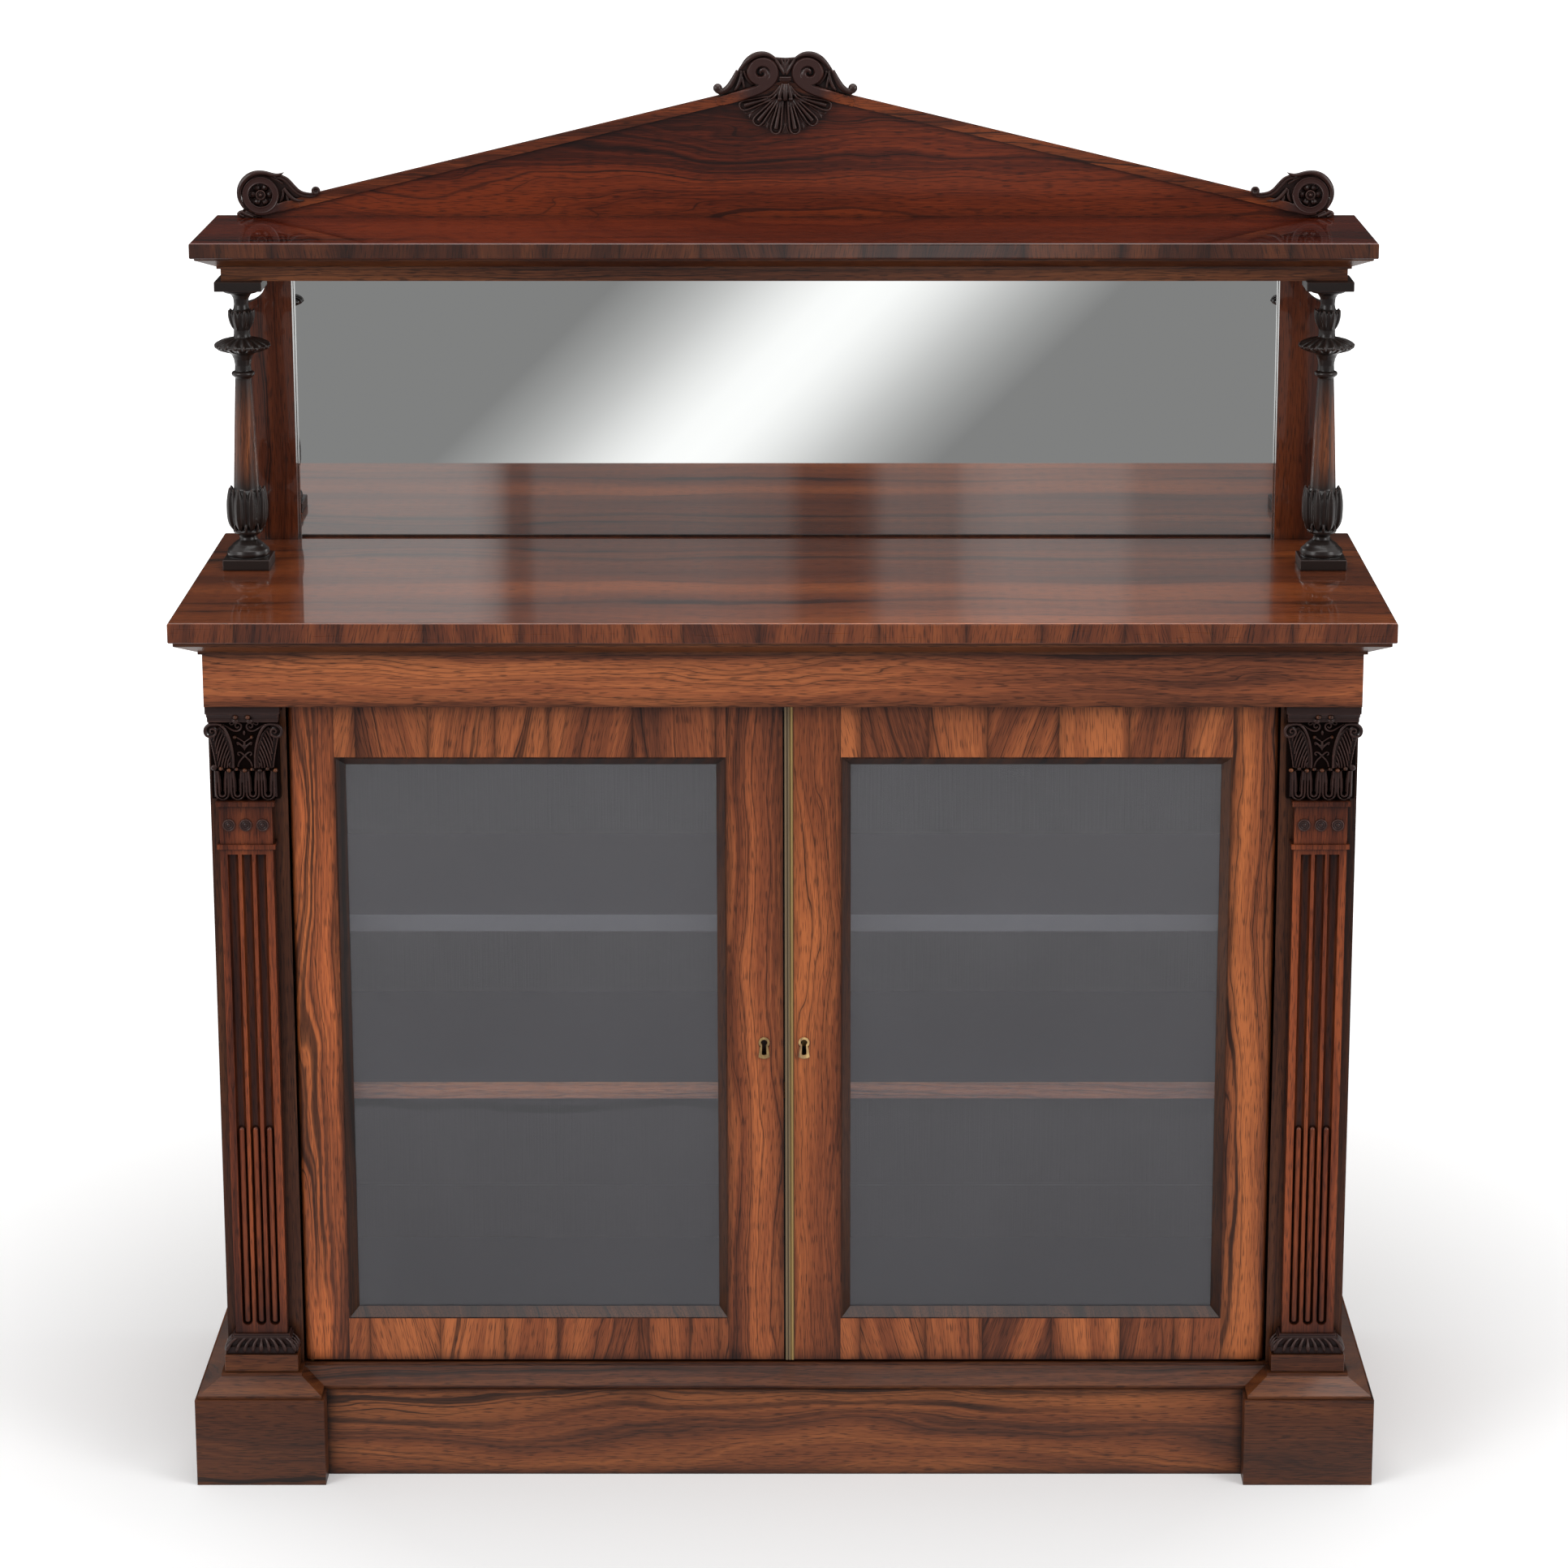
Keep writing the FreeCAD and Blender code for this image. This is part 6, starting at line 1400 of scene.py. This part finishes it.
# stage sheets that only reflections see: a dim room before the piece, as polish and glass show it
upright = (math.pi / 2, 0, 0)
level = (0, 0, 0)
room = {
    "width": 12,
    "wallY": -5.3,
    "ceiling": 6.0,
    "grey": 0.215,
    "tone": (1.0, 0.94, 1.03),
    "backPlace": (0, 3.0, 2.0),
    "backTall": 4.0,
    "backGrey": 0.03,
    "floorEndY": -0.34,
    "floorZ": 0.003,
    "floorNear": 0.36,
    "lineY": -1.24,           # where the near floor begins, behind a dark line
    "lineWander": 0.16,
    "lineHalf": 0.016,
    "lineEnd": 0.02,
    "bandHeight": 2.12,
    "bandReach": 0.36,
    "bandSpan": 3.2,
    "bands": (
        (-1.25, 0.46), (-0.80, 0.48), (-0.745, 0.34), (-0.70, 0.05), (-0.665, 0.05), (-0.64, 0.17),
        (-0.25, 0.21), (-0.06, 0.15), (-0.01, 0.02), (0.10, 0.01), (0.14, 0.05), (0.185, 0.20),
        (0.34, 0.18), (0.375, 0.30), (0.47, 0.37), (0.73, 0.34), (0.78, 0.22), (1.07, 0.22), (1.10, 0.1),
    ),
}


def addSheet(name, middle, size, turn, light):
    bpy.ops.mesh.primitive_plane_add(size=1, location=middle, rotation=turn)
    sheet = bpy.context.object
    sheet.name = name
    sheet.scale = (*size, 1)
    applyPlace(sheet)
    material, tree = startFinish(name + " light")
    show(tree, addNode(tree, "ShaderNodeEmission", light(tree)))
    giveFinish(sheet, material)
    sheet.visible_camera = False
    sheet.visible_diffuse = False
    sheet.visible_shadow = False
    sheet.visible_transmission = False


def plainLight(strength):
    return lambda tree: {"Strength": strength}


def wallLight(tree):
    # soft upright bands where the polished top looks
    parts = axes(tree, objectPlace(tree))
    span = room["bandSpan"]
    across = sums(tree, "MULTIPLY_ADD", parts[0], 1 / span, 0.5)
    bands = ramp(tree, across, [(spot / span + 0.5, shade) for spot, shade in room["bands"]])
    off = sums(tree, "ABSOLUTE", sums(tree, "SUBTRACT", parts[2], room["bandHeight"]))
    inside = sums(tree, "LESS_THAN", off, room["bandReach"])
    plain = tuple(room["grey"] * part for part in room["tone"])
    return {"Color": blendColours(tree, inside, plain, bands)}


def floorLight(tree):
    parts = axes(tree, objectPlace(tree))
    wander = lineNoise(tree, parts[0], 3.0, 2.0, 0.5, 2.0)
    past = sums(tree, "SUBTRACT", parts[1], room["lineY"] + room["lineWander"] / 2)
    depth = sums(tree, "MULTIPLY_ADD", wander, room["lineWander"], past)
    near = sums(tree, "GREATER_THAN", depth, 0.0)
    strength = sums(tree, "MULTIPLY_ADD", near, room["floorNear"] - room["grey"], room["grey"])
    line = sums(tree, "LESS_THAN", sums(tree, "ABSOLUTE", depth), room["lineHalf"])
    line = sums(tree, "MULTIPLY", line, sums(tree, "LESS_THAN", parts[0], room["lineEnd"]))
    strength = sums(tree, "MULTIPLY", strength, sums(tree, "SUBTRACT", 1.0, line))
    return {"Color": (*room["tone"], 1), "Strength": strength}


def setRoom():
    wide, tall, far, near = room["width"], room["ceiling"], room["wallY"], room["floorEndY"]
    addSheet("roomWall", (0, far, tall / 2), (wide, tall), upright, wallLight)
    addSheet("roomCeiling", (0, far / 2 - 0.6, tall), (wide, -far), level, plainLight(room["grey"]))
    addSheet("roomBack", room["backPlace"], (wide, room["backTall"]), upright, plainLight(room["backGrey"]))
    addSheet("roomFloor", (0, (far + near) / 2, room["floorZ"]), (wide, near - far), level, floorLight)


setRoom()


# a soft bright band on a card behind the camera, which the mirror shows
card = {
    "y": -4.60,
    "halfWidth": 1.5,
    "low": 0.005,
    "high": 0.95,
    "tones": ((0.0, 1.0), (0.13, 0.97), (0.27, 0.85), (0.40, 0.71), (0.53, 0.56), (0.67, 0.43), (0.80, 0.33),
              (0.93, 0.255), (1.0, 0.216)),
    "strength": 1.14,
    "bandLean": 1.03,       # metres across per metre up
    "bandMiddle": -0.33,    # where the band meets the floor
    "bandHalfWidth": 0.555,
}


def cardLight(tree):
    parts = axes(tree, objectPlace(tree))
    off = sums(tree, "MULTIPLY_ADD", parts[2], -card["bandLean"], parts[0])
    off = sums(tree, "ABSOLUTE", sums(tree, "SUBTRACT", off, card["bandMiddle"]))
    off = sums(tree, "DIVIDE", off, card["bandHalfWidth"])
    return {"Color": ramp(tree, off, card["tones"]), "Strength": card["strength"]}


addSheet("mirrorCard", (0, card["y"], (card["low"] + card["high"]) / 2),
         (2 * card["halfWidth"], card["high"] - card["low"]), upright, cardLight)
print("room and card set")
